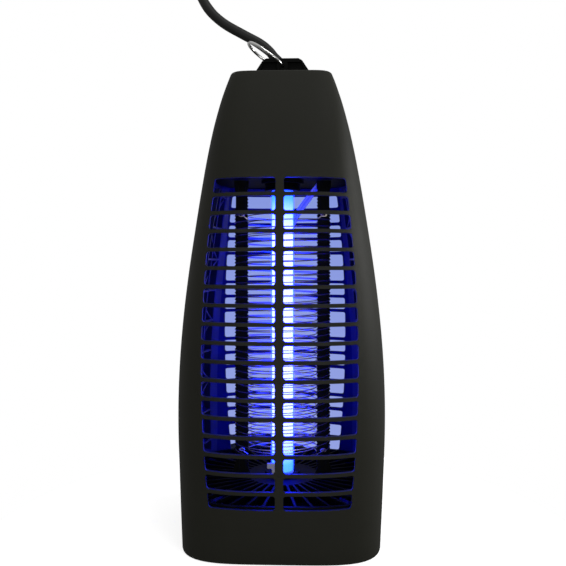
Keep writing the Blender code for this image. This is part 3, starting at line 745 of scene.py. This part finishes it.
def slot_corners(rows_at, mid, end):
    """Grid places of every slot corner, with the next place along each of its two edges."""
    corner, along_x, along_z = [], [], []
    for start in rows_at:
        for row, up in ((start, 1), (start + 4, -1)):
            for column, inward in ((1, 1), (end, -1)):
                for side in (-1, 1):
                    corner.append((row, mid + side * column))
                    along_x.append((row, mid + side * (column + inward)))
                    along_z.append((row + up, mid + side * column))
    return np.array(corner), np.array(along_x), np.array(along_z)


def make_shell(name, side, node):
    """Outer and inner skins with the slots left out, rounded slot corners filled by fans,
    and walls across every free edge."""
    z, inset, share, rows_at = shell_rows()
    ends = slot_reach(z)
    outer, end = shell_surface(z, inset, share, 0.0, ends)
    inner, _ = shell_surface(z, inset, share, WALL, ends)
    rows, columns = outer.shape[:2]
    mid = columns // 2
    quads = grid_quads(rows, columns)
    i, j = quads[:, 0] // columns, quads[:, 0] % columns
    in_rows = ((i[:, None] >= rows_at) & (i[:, None] < rows_at + 4)).any(1)
    right = (j >= mid + 1) & (j < mid + end)
    left = (j >= mid - end) & (j < mid - 1)
    quads = quads[~(in_rows & (right | left))]

    corner, along_x, along_z = slot_corners(rows_at, mid, end)
    number = [p[:, 0] * columns + p[:, 1] for p in (corner, along_x, along_z)]
    turn = np.radians([22.5, 45, 67.5])
    skins = []
    for skin in (outer, inner):
        flat = skin.reshape(-1, 3)
        c, p, q = (flat[n] for n in number)
        new = [c + (p - c) * (1 - math.sin(t)) + (q - c) * (1 - math.cos(t)) for t in turn]
        skins.append(np.vstack([flat, *new]))
    base, count = rows * columns, len(corner)
    chain = [number[1]] + [base + k * count + np.arange(count) for k in range(3)] + [number[2]]
    fans = np.vstack([np.stack([number[0], chain[k], chain[k + 1]], -1) for k in range(4)])

    total = len(skins[0])
    edges = np.vstack([np.stack([quads[:, k], quads[:, (k + 1) % 4]], -1) for k in range(4)]
                      + [np.stack([fans[:, k], fans[:, (k + 1) % 3]], -1) for k in range(3)])
    edges, uses = np.unique(np.sort(edges, 1), axis=0, return_counts=True)
    rim = edges[uses == 1]
    walls = np.hstack([rim, rim[:, ::-1] + total])
    faces = quads.tolist() + fans.tolist() + (quads + total).tolist() \
        + (fans + total).tolist() + walls.tolist()
    points = np.vstack(skins) * (1.0, side, 1.0)
    shell = piece(name, points, faces, "housing", smooth=40, replaces=(node,))
    # the inside faces take the inner plastic, whose blue is painted lamp light
    shell.data.materials.append(LOOKS["inner"][1])
    outside = len(quads) + len(fans)
    look = np.zeros(len(shell.data.polygons), np.int32)
    look[outside:] = 1
    shell.data.polygons.foreach_set("material_index", look)
    return shell


def cut_wells(shell):
    """Holes for the screws through the rear wall."""
    shapes = [revolved([(0, 0.02), (WELL_R, 0.02), (WELL_R, 0.09), (0, 0.09)],
                       (x, 0.0, z), axis="y", sides=32) for x, z in BOSS_PLACES]
    wells = placed("wells", sound_mesh("wells", *joined(*shapes)))
    step = shell.modifiers.new("wells", 'BOOLEAN')
    step.object = wells
    step.operation = 'DIFFERENCE'
    step.solver = 'EXACT'
    depsgraph = bpy.context.evaluated_depsgraph_get()
    cut = bpy.data.meshes.new_from_object(shell.evaluated_get(depsgraph))
    shell.modifiers.remove(step)
    shell.data = cut
    bpy.data.objects.remove(wells, do_unlink=True)


def ended_in_wall(shape):
    """A shape whose ends are cut off along the housing's inner face, a little into the wall."""
    points, faces = shape
    x, y, z = points.T
    a, b = half_sizes(z)
    reach = face_depth(np.abs(x), a - WALL, b - WALL, plan_power(z)) + INTO_WALL
    return np.stack([x, np.clip(y, -reach, reach), z], -1), faces


def make_bosses():
    """Screw posts that run in from both shells, the rear ones bored for the screws."""
    front, rear = [], []
    nose = np.array([(0, BOSS_GAP), (BOSS_R - BOSS_ROUND, BOSS_GAP),
                     (BOSS_R, BOSS_GAP + BOSS_ROUND), (BOSS_R, HALF_DEPTH)])
    solid = np.vstack([nose, [(0, HALF_DEPTH)]]) * (1, -1)
    bored = np.vstack([nose, [(WELL_R, HALF_DEPTH), (WELL_R, SCREW_SEAT_Y), (0, SCREW_SEAT_Y)]])
    for x, z in BOSS_PLACES:
        front.append(revolved(solid, (x, 0, z), axis="y", sides=36))
        rear.append(revolved(bored, (x, 0, z), axis="y", sides=36))
    # the bosses, like the lips and ribs below, take the inner plastic with its painted blue lamp
    # light
    piece("front_bosses", *ended_in_wall(joined(*front)), "inner")
    piece("rear_bosses", *ended_in_wall(joined(*rear)), "inner")


def wall_point(z, angle, inset):
    """Place on the housing's inside at a height and a direction from +X."""
    a, b = half_sizes(z)
    r = oval_radius(a - WALL - inset, b - WALL - inset, plan_power(z), angle)
    return r * np.cos(angle), r * np.sin(angle)


def rib_strip(z, angle, depth, thickness):
    """A thin rib standing on the inner wall along a line of heights and directions."""
    z, angle = np.broadcast_arrays(z, angle)
    rows = []
    for inset in (-0.5 * INTO_WALL, depth):
        x, y = wall_point(z, angle, inset)
        rows.append(np.stack([x, y, z], -1))
    ahead = np.gradient(rows[0], axis=0)
    out = rows[0] - rows[1]
    across = np.cross(ahead, out)
    across *= 0.5 * thickness / np.linalg.norm(across, axis=1)[:, None]
    ring = np.stack([rows[0] + across, rows[1] + across, rows[1] - across, rows[0] - across], 1)
    count = len(z)
    points = ring.reshape(-1, 3)
    faces = grid_quads(count, 4, closed_columns=True).tolist()
    faces += [[3, 2, 1, 0], [4 * count - 4, 4 * count - 3, 4 * count - 2, 4 * count - 1]]
    return points, faces


def make_seam_lips():
    """A flat lip on each side of the front half's inner wall that laps behind the seam."""
    z = np.linspace(30 * MM, 262 * MM, 60)
    lips = [rib_strip(z, angle, 1.1 * MM, 6.0 * MM) for angle in (0.0, math.pi)]
    piece("seam_lips", *joined(*lips), "inner", smooth=30)


def make_ribs():
    """Ladders of ribs on the two side walls: uprights, rungs and slanting braces."""
    rungs = np.linspace(RIB_LOW, RIB_HIGH, 9)
    upright = np.linspace(RIB_LOW - 8 * MM, RIB_HIGH + 4 * MM, 24)
    across, slope = np.linspace(-RIB_SPREAD, RIB_SPREAD, 14), np.linspace(0, 1, 16)
    for name, middle in (("ribs_right", RIB_MIDDLE), ("ribs_left", math.pi - RIB_MIDDLE)):
        shapes = []
        for side in (-RIB_SPREAD, 0.0, RIB_SPREAD):
            shapes.append(rib_strip(upright, middle + side, 6.0 * MM, 1.6 * MM))
        for z in rungs:
            shapes.append(rib_strip(z, middle + across, 6.0 * MM, 1.4 * MM))
        for k, (below, above) in enumerate(zip(rungs, rungs[1:])):
            lean = RIB_SPREAD if k % 2 else -RIB_SPREAD
            shapes.append(rib_strip(below + (above - below) * slope,
                                    middle + lean * (1 - 2 * slope), 5.0 * MM, 1.4 * MM))
        piece(name, *joined(*shapes), "inner", smooth=30)


# ---------------------------------------------------------------- lamp
def make_lamp():
    """Glass tube with shouldered ends, its metal caps and their pins."""
    low, high = lamp_low[2], lamp_high[2]
    shoulder = np.radians(np.linspace(0, 90, 6))
    r = 1.4 * MM
    top = np.stack([TUBE_R - r + r * np.cos(shoulder), high - r + r * np.sin(shoulder)], -1)
    bottom = np.stack([TUBE_R - r + r * np.sin(shoulder), low + r - r * np.cos(shoulder)], -1)
    stations = np.linspace(high - 2 * r, low + 2 * r, 40)
    side = np.stack([0 * stations + TUBE_R, stations], -1)
    profile = np.vstack([[(0, high)], top[::-1], side, bottom[::-1], [(0, low)]])
    piece("lamp_glass_tube", *revolved(profile, sides=64), "lamp", "lamp",
          replaces=("lamp_tube",))
    inset = 1.0 * MM
    stations = np.linspace(high - inset, low + inset, 40)
    side = np.stack([0 * stations + PHOSPHOR_R, stations], -1)
    core = np.vstack([[(0, high - inset)], side, [(0, low + inset)]])
    glow = piece("lamp_phosphor", *revolved(core, sides=48), "core", "lamp")
    glow.visible_diffuse = False
    glow.visible_glossy = False
    for node, end, way in (("lamp_cap_lower", low, -1), ("lamp_cap_upper", high, 1)):
        r = low_high(node)[1][0]
        lip, face = end + way * 0.0003, end + way * 0.0062
        cap = [(0, lip), (r - 0.0004, lip), (r, lip + way * 0.0004), (r, lip + way * 0.0012),
               (r - 0.0003, lip + way * 0.0016), (r - 0.0003, lip + way * 0.0022),
               (r, lip + way * 0.0026), (r, face - way * 0.0008), (r - 0.0008, face), (0, face)]
        shapes = [revolved(cap, sides=48)]
        for x in (-PIN_HALF_APART, PIN_HALF_APART):
            tip = face + way * 0.0064
            pin = [(0, face - way * 0.0005), (1.2 * MM, face - way * 0.0005),
                   (1.2 * MM, tip - way * 0.0005), (0.8 * MM, tip), (0, tip)]
            shapes.append(revolved(pin, (x, 0, 0), sides=20))
        piece(node + "_metal", *joined(*shapes), "steel", "lamp", replaces=(node,))


def make_lamp_holders():
    """Cups round the tube's ends, with a flange, an outer rib and a rounded lip."""
    for node, end, way in (("lower_lamp_holder", lamp_low[2], 1.0),
                           ("upper_lamp_holder", lamp_high[2], -1.0)):
        end = end - way * 0.0063
        profile = [(8.7, 6.4), (9.2, 6.8), (12.0, 6.8), (12.5, 6.3), (12.5, 4.4), (12.1, 4.1),
                   (12.1, 3.3), (12.5, 3.0), (12.5, 1.8), (14.6, 1.8), (15.0, 1.4), (15.0, -0.3),
                   (14.6, -0.7), (12.5, -0.7), (12.5, -9.0), (12.0, -9.5), (0, -9.5), (0, -7.3),
                   (4.5, -7.3), (4.5, -0.5), (8.7, -0.5)]
        points, faces = revolved(np.array(profile) * MM * (1, way) + (0, end), sides=72)
        piece(node + "_cup", points, faces, "black", replaces=(node,))


def make_lamp_lead():
    """Twin lead: two insulated strands side by side down behind the tube."""
    route = [
        (0.0268, 0.0090, 0.2440), (0.0180, 0.0120, 0.2330), (0.0092, 0.0122, 0.2200),
        (0.0050, 0.0122, 0.2060), (0.0034, 0.0122, 0.1700), (0.0030, 0.0122, 0.1000),
        (0.0028, 0.0124, 0.0540), (0.0026, 0.0144, 0.0410), (0.0026, 0.0148, 0.0375),
    ]
    path = even_path(smooth_path(route), 0.0015)
    strands = [tube(path, LEAD_STRAND_R, sides=12, offset=shift)
               for shift in (-1.1 * MM, 1.1 * MM)]
    piece("lamp_lead_twin", *joined(*strands), "grey", replaces=("lamp_lead",))
    low, high = low_high("lead_clip")
    step, stem = low[2] + 3.4 * MM, high[0] - 2.3 * MM
    hook = [(stem, low[2]), (high[0], low[2]), (high[0], high[2]), (low[0], high[2]),
            (low[0], step), (stem, step)]
    piece("lead_clip_hook", *slab(hook, low[1], high[1]), "pale", bevel=0.0005, segments=3,
          replaces=("lead_clip",))


# ---------------------------------------------------------------- electrodes
def make_cages():
    """Oval helices wound from the bottom up: the height grows evenly with the turns, with a
    small hand-wound drift in height and size."""
    for node, start in (("outer_electrode", 0.0), ("inner_electrode", 0.5)):
        low, high = low_high(node)
        a, b = high[0] - CAGE_FRAME_R, high[1] - CAGE_FRAME_R
        t = np.linspace(0, CAGE_TURNS, CAGE_TURNS * 40 + 1)
        drift = 0.35 * MM * np.sin(t * 1.7 + start * 5) * np.sin(TAU * t + start)
        rise = high[2] - low[2] - 2 * CAGE_FRAME_R
        height = low[2] + CAGE_FRAME_R + rise * t / CAGE_TURNS + drift
        bow = 1.0 + 0.012 * np.sin(t * 2.3 + start * 9)
        corner = 1.0 + 0.05 * np.cos(2 * TAU * t)
        path = np.stack([a * np.cos(TAU * t), b * bow * np.sin(TAU * t) / corner, height], -1)
        piece(node + "_wire", *tube(path, CAGE_WIRE_R, sides=6), "steel", replaces=(node,))


def make_posts():
    """Flat posts with a saw edge on both sides, a tie hole near each end and a foot. The
    edge is a triangle wave along the height."""
    pitch = 2.36 * MM
    for node, side in (("electrode_post_left", -1), ("electrode_post_right", 1)):
        low, high = low_high(node)
        z_low, z_high = low[2], high[2]
        teeth = np.arange(0.030, 0.2400, 0.5 * pitch)
        wave = np.where(np.arange(len(teeth)) % 2 == 0, 0.0, 0.9 * MM)
        outer = np.stack([33.1 * MM + wave, teeth], -1)
        inner = np.stack([24.9 * MM - wave * 0.8, teeth], -1)[::-1]
        outer = outer[(outer[:, 1] > 0.047) & (outer[:, 1] < 0.226)]
        inner = inner[(inner[:, 1] > z_low + 0.004) & (inner[:, 1] < 0.2400)]
        foot = 1.2 * MM
        outline = np.vstack([
            [(24.4 * MM - foot, z_low), (33.6 * MM + foot, z_low),
             (33.6 * MM + foot, z_low + 0.004), (33.0 * MM, z_low + 0.008)],
            outer,
            [(33.0 * MM, z_high - 0.010), (34.2 * MM, z_high - 0.004), (34.2 * MM, z_high),
             (24.0 * MM, z_high), (24.0 * MM, z_high - 0.003)],
            inner,
        ])
        outline[:, 0] *= side
        plate = slab(outline, -0.9 * MM, 0.9 * MM)
        ribs = []
        for x in (26.6 * MM, 31.4 * MM):
            edge = np.array([(x - 0.0005, z_low + 0.003), (x + 0.0005, z_low + 0.003),
                             (x + 0.0005, z_high - 0.004), (x - 0.0005, z_high - 0.004)])
            edge[:, 0] *= side
            ribs.append(slab(edge, -1.5 * MM, 1.5 * MM))
        holes = []
        for z in TIE_HEIGHTS:
            rim = [(1.3 * MM, -1.3 * MM), (2.1 * MM, -1.3 * MM), (2.1 * MM, 1.3 * MM),
                   (1.3 * MM, 1.3 * MM)]
            holes.append(revolved(rim, (side * TIE_HOLE_X, 0, z), axis="y", sides=28))
        piece(node + "_saw", *joined(plate, *ribs, *holes), "black", smooth=25,
              replaces=(node,))


def make_wire_ties():
    """The cages' loose ends: short twisted tails through the posts' holes."""
    shapes = []
    for side in (-1, 1):
        for z in TIE_HEIGHTS:
            t = np.linspace(0, 2.4 * TAU, 60)
            grow = 1.6 * MM + 0.2 * MM * t / TAU
            x = side * TIE_HOLE_X + grow * np.cos(t)
            y = -1.9 * MM - 0.25 * MM * t / TAU
            knot = np.stack([x, y, z + grow * 0.5 * np.sin(t)], -1)
            shapes.append(tube(knot, TIE_WIRE_R, 6))
            tail = [(side * TIE_HOLE_X, -2.4 * MM, z), (side * 27.0 * MM, -3.4 * MM, z - 1.2 * MM),
                    (side * 24.6 * MM, -3.0 * MM, z - 3.0 * MM)]
            shapes.append(tube(smooth_path(tail), TIE_WIRE_R, 6))
    piece("wire_ties", *joined(*shapes), "steel")


# ---------------------------------------------------------------- hanger
def make_ring():
    """Bent wire: a straight through the bracket's bore, round corners and a round far end,
    closed on itself, leaning to the left."""
    half, corner, length = 12.0 * MM, 9.0 * MM, 29.0 * MM
    straight = half - corner
    flat = np.vstack([arc(-straight, corner, corner, 180, 270, 18),
                      arc(straight, corner, corner, 270, 360, 18),
                      arc(0.0, length - half, half, 0, 180, 44)])
    keep = np.linalg.norm(np.diff(flat, axis=0, append=flat[:1]), axis=1) > 1e-5
    flat = flat[keep]
    up = np.array([-math.sin(RING_LEAN), 0.0, math.cos(RING_LEAN)])
    path = np.array([0, 0, HANG_Z]) + flat[:, :1] * (0, 1, 0) + flat[:, 1:] * up
    closed = even_path(np.vstack([path, path[:1]]), 0.0009)[:-1]
    piece("bail_ring_wire", *tube(closed, RING_WIRE_R, sides=16, closed=True), "chrome", "bail",
          replaces=("bail_ring",))


def make_strain_relief():
    """A tapered rubber sleeve with grooves round it, on a flange."""
    low, high = low_high("cord_strain_relief")
    centre = (0.5 * (low[0] + high[0]), 0.5 * (low[1] + high[1]), HEIGHT)
    bore, top, foot = 3.62 * MM, high[2] - HEIGHT, low[2] - HEIGHT
    profile = [(bore, top), (4.3 * MM, top), (4.7 * MM, top - 0.4 * MM)]
    for k in range(4):
        z = top - (1.2 + 1.7 * k) * MM
        r = (4.8 + 0.22 * k) * MM
        profile += [(r, z), (r - 0.45 * MM, z - 0.25 * MM), (r - 0.45 * MM, z - 0.75 * MM),
                    (r + 0.1 * MM, z - 1.0 * MM)]
    profile += [(6.4 * MM, 2.4 * MM), (6.8 * MM, 2.0 * MM), (6.8 * MM, 0.3 * MM),
                (4.8 * MM, 0.3 * MM), (4.8 * MM, foot), (bore, foot)]
    points, faces = revolved(profile, centre, sides=56)
    return piece("cord_sleeve", points, faces, "black", smooth=30,
                 replaces=("cord_strain_relief",))


# ---------------------------------------------------------------- cord
def coil_path():
    """The put-away length: a flat spiral inwards, then one layer down and outwards again."""
    t = np.linspace(0, COIL_TURNS, int(56 * COIL_TURNS))
    half, drop = 0.5 * COIL_TURNS, 0.18
    inward = np.clip(t / (half - 0.5 * drop), 0, 1)
    outward = np.clip((t - half - 0.5 * drop) / (half - 0.5 * drop), 0, 1)
    radius = COIL_OUTER - (COIL_OUTER - COIL_INNER) * np.where(t < half, inward, 1 - outward)
    step = np.clip((t - half + 0.5 * drop) / drop, 0, 1)
    step = step * step * (3 - 2 * step)
    angle = COIL_START - TAU * t
    return np.stack([COIL_CENTRE[0] + radius * np.cos(angle),
                     COIL_CENTRE[1] + radius * np.sin(angle), 10.7 * MM - 7.1 * MM * step], -1)


def make_plug():
    """Two-pin plug: a body of squared ovals that tapers to a neck, with round pins."""
    low, high = low_high("plug_body")
    centre = 0.5 * (low + high)
    back, front = high[1], low[1]
    stations = np.array([0.0, 0.02, 0.07, 0.16, 0.30, 0.45, 0.60, 0.72, 0.80, 0.86, 0.90, 0.94,
                         0.97, 0.99, 1.0])
    wide = np.array([11.6, 12.5, 13.0, 13.0, 12.8, 12.2, 11.0, 9.4, 7.6, 6.4, 5.8, 5.6,
                     5.4, 5.0, 4.6])
    tall = np.array([6.2, 7.0, 7.4, 7.5, 7.5, 7.4, 7.1, 6.8, 6.3, 5.9, 5.6, 5.4,
                     5.2, 4.9, 4.5])
    turn = np.arange(48) * TAU / 48
    power = 2 / 2.8
    ring_x = np.sign(np.cos(turn)) * np.abs(np.cos(turn)) ** power
    ring_z = np.sign(np.sin(turn)) * np.abs(np.sin(turn)) ** power
    y = front + (back - front) * stations
    x = centre[0] + wide[:, None] * MM * ring_x
    z = centre[2] + tall[:, None] * MM * ring_z
    points = np.stack([x, np.broadcast_to(y[:, None], x.shape), z], -1).reshape(-1, 3)
    faces = grid_quads(len(stations), 48, closed_columns=True).tolist()
    faces += [list(range(48)), list(range((len(stations) - 1) * 48, len(stations) * 48))]
    body = piece("plug_moulding", points, faces, "cord", replaces=("plug_body",), bevel=0.0004)
    pins = []
    for node in ("plug_pin_left", "plug_pin_right"):
        low, high = low_high(node)
        x, z = 0.5 * (low[0] + high[0]), 0.5 * (low[2] + high[2])
        r = 0.5 * (high[2] - low[2])
        dome = np.radians(np.linspace(0, 90, 6))
        nose = np.stack([r * np.cos(dome), low[1] + r * 0.6 * (1 - np.sin(dome))], -1)
        profile = np.vstack([[(0, high[1] + 0.0008), (r, high[1] + 0.0008)], nose])
        pins.append(piece(node + "_turned", *revolved(profile, (x, 0, z), axis="y", sides=28),
                          "brass", replaces=(node,)))
    return [body, *pins]


def make_tie():
    """A wire tie that wraps the coil's section once, with its ends twisted together."""
    angle = math.radians(178)
    mid = 0.5 * (COIL_OUTER + COIL_INNER)
    out = np.array([math.cos(angle), math.sin(angle), 0.0])
    centre = np.array([*COIL_CENTRE, 7.15 * MM]) + out * mid
    t = np.linspace(0, TAU, 49)[:-1]
    half_wide, half_high = 11.2 * MM, 7.9 * MM
    u = half_wide * np.sign(np.cos(t)) * np.abs(np.cos(t)) ** 0.5
    v = np.clip(half_high * np.sign(np.sin(t)) * np.abs(np.sin(t)) ** 0.5, -6.6 * MM, 8.0 * MM)
    loop = centre + u[:, None] * out + v[:, None] * np.array([0.0, 0.0, 1.0])
    band = tube(loop, 0.55 * MM, sides=8, closed=True)
    s = np.linspace(0, 3 * TAU, 60)
    top = centre + np.array([0, 0, 8.2 * MM])
    twist = [np.stack([top[0] + 0.5 * MM * np.cos(s + p),
                       top[1] + 0.5 * MM * np.sin(s + p) + s * 0.35 * MM,
                       top[2] + 0.0004 + 0 * s], -1) for p in (0, math.pi)]
    return piece("coil_tie", *joined(band, *[tube(w, 0.45 * MM, 8) for w in twist]), "pale")


def make_cord():
    """The mains cord from the sleeve over its bow, down behind the housing, round the coil
    and on to the plug, as one tube."""
    rising = smooth_path(CORD_ROUTE)
    coil = coil_path()
    lead_in = smooth_path([rising[-13], rising[-1], coil[5], coil[12]])
    tail = smooth_path([coil[-6], *TAIL_ROUTE])
    path = np.vstack([rising[:-13], lead_in, coil[13:-6], tail])
    start = np.argmax(path[:, 2] >= CORD_EXIT_Z)
    path = even_path(eased(even_path(path[start:], CORD_STEP), BEND_LEAST), CORD_STEP)
    cord = piece("mains_cord_run", *tube(path, CORD_R, sides=20), "cord",
                 replaces=("mains_cord", "cord_coil", "cord_tail"))
    tie = make_tie()


# ---------------------------------------------------------------- kept frame nodes
def dress(node, look):
    """A CAD node that keeps its shape and takes a new material."""
    obj = bpy.data.objects[node]
    for slot in obj.material_slots:
        slot.material = LOOKS[look][1]


def dress_inside():
    """The parts above the deck and the shell screws, as the frame has them."""
    for node in ("capacitor_a", "capacitor_b", "capacitor_c"):
        dress(node, "amber")
    for node in ("lamp_starter", "terminal_block"):
        dress(node, "pale")
    dress("circuit_board", "board")
    dress("ballast_winding", "copper")
    dress("ballast_core", "steel")
    for place in ("lower_left", "lower_right", "upper_left", "upper_right"):
        dress("shell_screw_" + place, "steel")


# ---------------------------------------------------------------- stage, light and camera
def staged(name, mesh):
    """A thing of the studio's that lights nothing and shows in nothing."""
    obj = placed(name, mesh)
    obj.visible_diffuse = False
    obj.visible_glossy = False
    return obj


def make_stage():
    """A round white table top that glows a little, as a light table does, so that it meets
    the white surround without a line. It gives no light to the object."""
    finish = Finish("table_top", (0.80, 0.80, 0.80), 0.9, Specular_IOR_Level=0.0,
                    Emission_Color=(1.0, 1.0, 1.0, 1.0), Emission_Strength=TABLE_GLOW)
    cloud = finish.noise(3.0, 2.0)
    finish.drive("Base Color", finish.blend(cloud, (0.79, 0.79, 0.79), (0.81, 0.81, 0.81)))
    edge = np.arange(96) * TAU / 96
    rim = np.stack([TABLE_R * np.cos(edge), TABLE_R * np.sin(edge) + TABLE_Y, 0 * edge], -1)
    mesh = bpy.data.meshes.new("floor")
    mesh.from_pydata(rim.tolist(), [], [list(range(96))])
    mesh.materials.append(finish.material)
    staged("floor", mesh).location.z = -0.0002


def make_world():
    """Soft studio surround: white to the eye, and much dimmer as a light, brightest overhead."""
    world = bpy.data.worlds.new("studio")
    bpy.context.scene.world = world
    world.use_nodes = True
    studio = Nodes(world.node_tree)
    studio.tree.nodes.clear()
    x, y, z = studio.axes(studio.node("ShaderNodeTexCoord").outputs["Generated"])
    overhead = (z * 0.75 + 0.35).clipped()
    seen = studio.node("ShaderNodeBackground", sockets={"Color": (1.0, 1.0, 1.0, 1.0)})
    light = studio.node("ShaderNodeBackground", sockets={
        "Color": studio.blend(overhead, (0.30, 0.30, 0.30), (1.0, 1.0, 1.0)),
        "Strength": WORLD_LIGHT})
    path = studio.node("ShaderNodeLightPath")
    mix = studio.node("ShaderNodeMixShader", sockets={
        0: path.outputs["Is Camera Ray"], 1: light.outputs[0], 2: seen.outputs[0]})
    studio.node("ShaderNodeOutputWorld", sockets={0: mix.outputs[0]})


def make_painted_glow_screen():
    """The lamp's violet glow, painted on a clear tinted screen of the studio's that stands inside
    the rear wall: at each height a line at a fixed share of the inner half depth, as wide as the
    oval is there. The white surround is seen through it and takes on the painted glow."""
    z = np.linspace(lamp_low[2] - 0.030, lamp_high[2] + 0.012, 40)
    a, b = half_sizes(z)
    n = plan_power(z)
    x = 0.985 * (a - WALL) * (1 - GLOW_SCREEN_SHARE ** n) ** (1 / n)
    y = GLOW_SCREEN_SHARE * (b - WALL)
    points = np.stack([np.stack([-x, x], -1), np.stack([y, y], -1), np.stack([z, z], -1)], -1)
    mesh = bpy.data.meshes.new("haze")
    mesh.from_pydata(points.reshape(-1, 3).tolist(), [], grid_quads(len(z), 2).tolist())
    material = bpy.data.materials.new("violet_painted_glow_screen")
    material.use_nodes = True
    tint = Nodes(material.node_tree)
    tint.tree.nodes.clear()
    x, y, z = tint.axes()
    # painted lamp glow, a little deeper higher up
    rise = (z * 4.5 - 0.15).clipped()
    clear = tint.node("ShaderNodeBsdfTransparent", sockets={
        "Color": tint.blend(rise, PAINTED_GLOW_LOW, PAINTED_GLOW_HIGH)})
    tint.node("ShaderNodeOutputMaterial", sockets={0: clear.outputs[0]})
    mesh.materials.append(material)
    staged("haze", mesh).visible_shadow = False


def area_light(name, place, aim, width, height, power):
    """A rectangle of white light at a place, turned to face its aim."""
    data = bpy.data.lights.new(name, 'AREA')
    data.shape = 'RECTANGLE'
    data.size, data.size_y = width, height
    data.energy = power
    obj = placed(name, data)
    direction = np.array(aim) - np.array(place)
    from_z = -direction / np.linalg.norm(direction)
    side = np.cross((0, 0, 1), from_z)
    side /= np.linalg.norm(side)
    up = np.cross(from_z, side)
    matrix = np.eye(4)
    matrix[:3, 0], matrix[:3, 1], matrix[:3, 2], matrix[:3, 3] = side, up, from_z, place
    obj.matrix_world = Matrix(matrix.tolist())


def make_camera():
    """In front at lamp height, a little to the right, looking slightly down."""
    data = bpy.data.cameras.new("camera")
    data.sensor_width = 36.0
    data.lens = 40.36
    data.clip_start = 0.01
    camera = placed("camera", data)
    around, turn, tilt = math.radians(1.8), math.radians(1.758), math.radians(1.55)
    distance, height = 0.450, 0.1847
    camera.location = (distance * math.sin(around), -distance * math.cos(around), height)
    camera.rotation_euler = (math.radians(90) - tilt, 0.0, turn)
    bpy.context.scene.camera = camera


# ---------------------------------------------------------------- build
make_camera()
make_stage()
make_world()
# the lamp's violet glow on the white surround, painted on a tinted screen
make_painted_glow_screen()
bpy.context.scene.view_settings.view_transform = 'Standard'
area_light("key_above", (0.4, -0.6, 1.3), (0, 0, 0.15), 0.35, 0.35, 2.2)
area_light("rim_right", (0.75, 0.10, 0.34), (0.03, 0, 0.22), 0.25, 0.30, 2.4)
area_light("front_low", (0.15, -0.9, 0.10), (0, 0, 0.12), 0.5, 0.3, 1.5)

front = make_shell("front_shell_moulding", -1.0, "front_shell")
rear = make_shell("rear_shell_moulding", 1.0, "rear_shell")
cut_wells(rear)
for shell in (front, rear):
    soften(shell, 0.3 * MM, 2, 48)
make_bosses()
make_seam_lips()
make_ribs()
make_lamp()
make_lamp_holders()
make_lamp_lead()
make_cages()
make_posts()
make_wire_ties()
refined("base_spider", "black", 0.0003, segments=1)
refined("top_deck", "black", 0.0003, segments=1)
refined("catch_tray", "black", 0.0004)
refined("hanger_bracket", "black", 0.0005, segments=3)
make_ring()
sleeve = make_strain_relief()
plug = make_plug()
make_cord()
dress_inside()
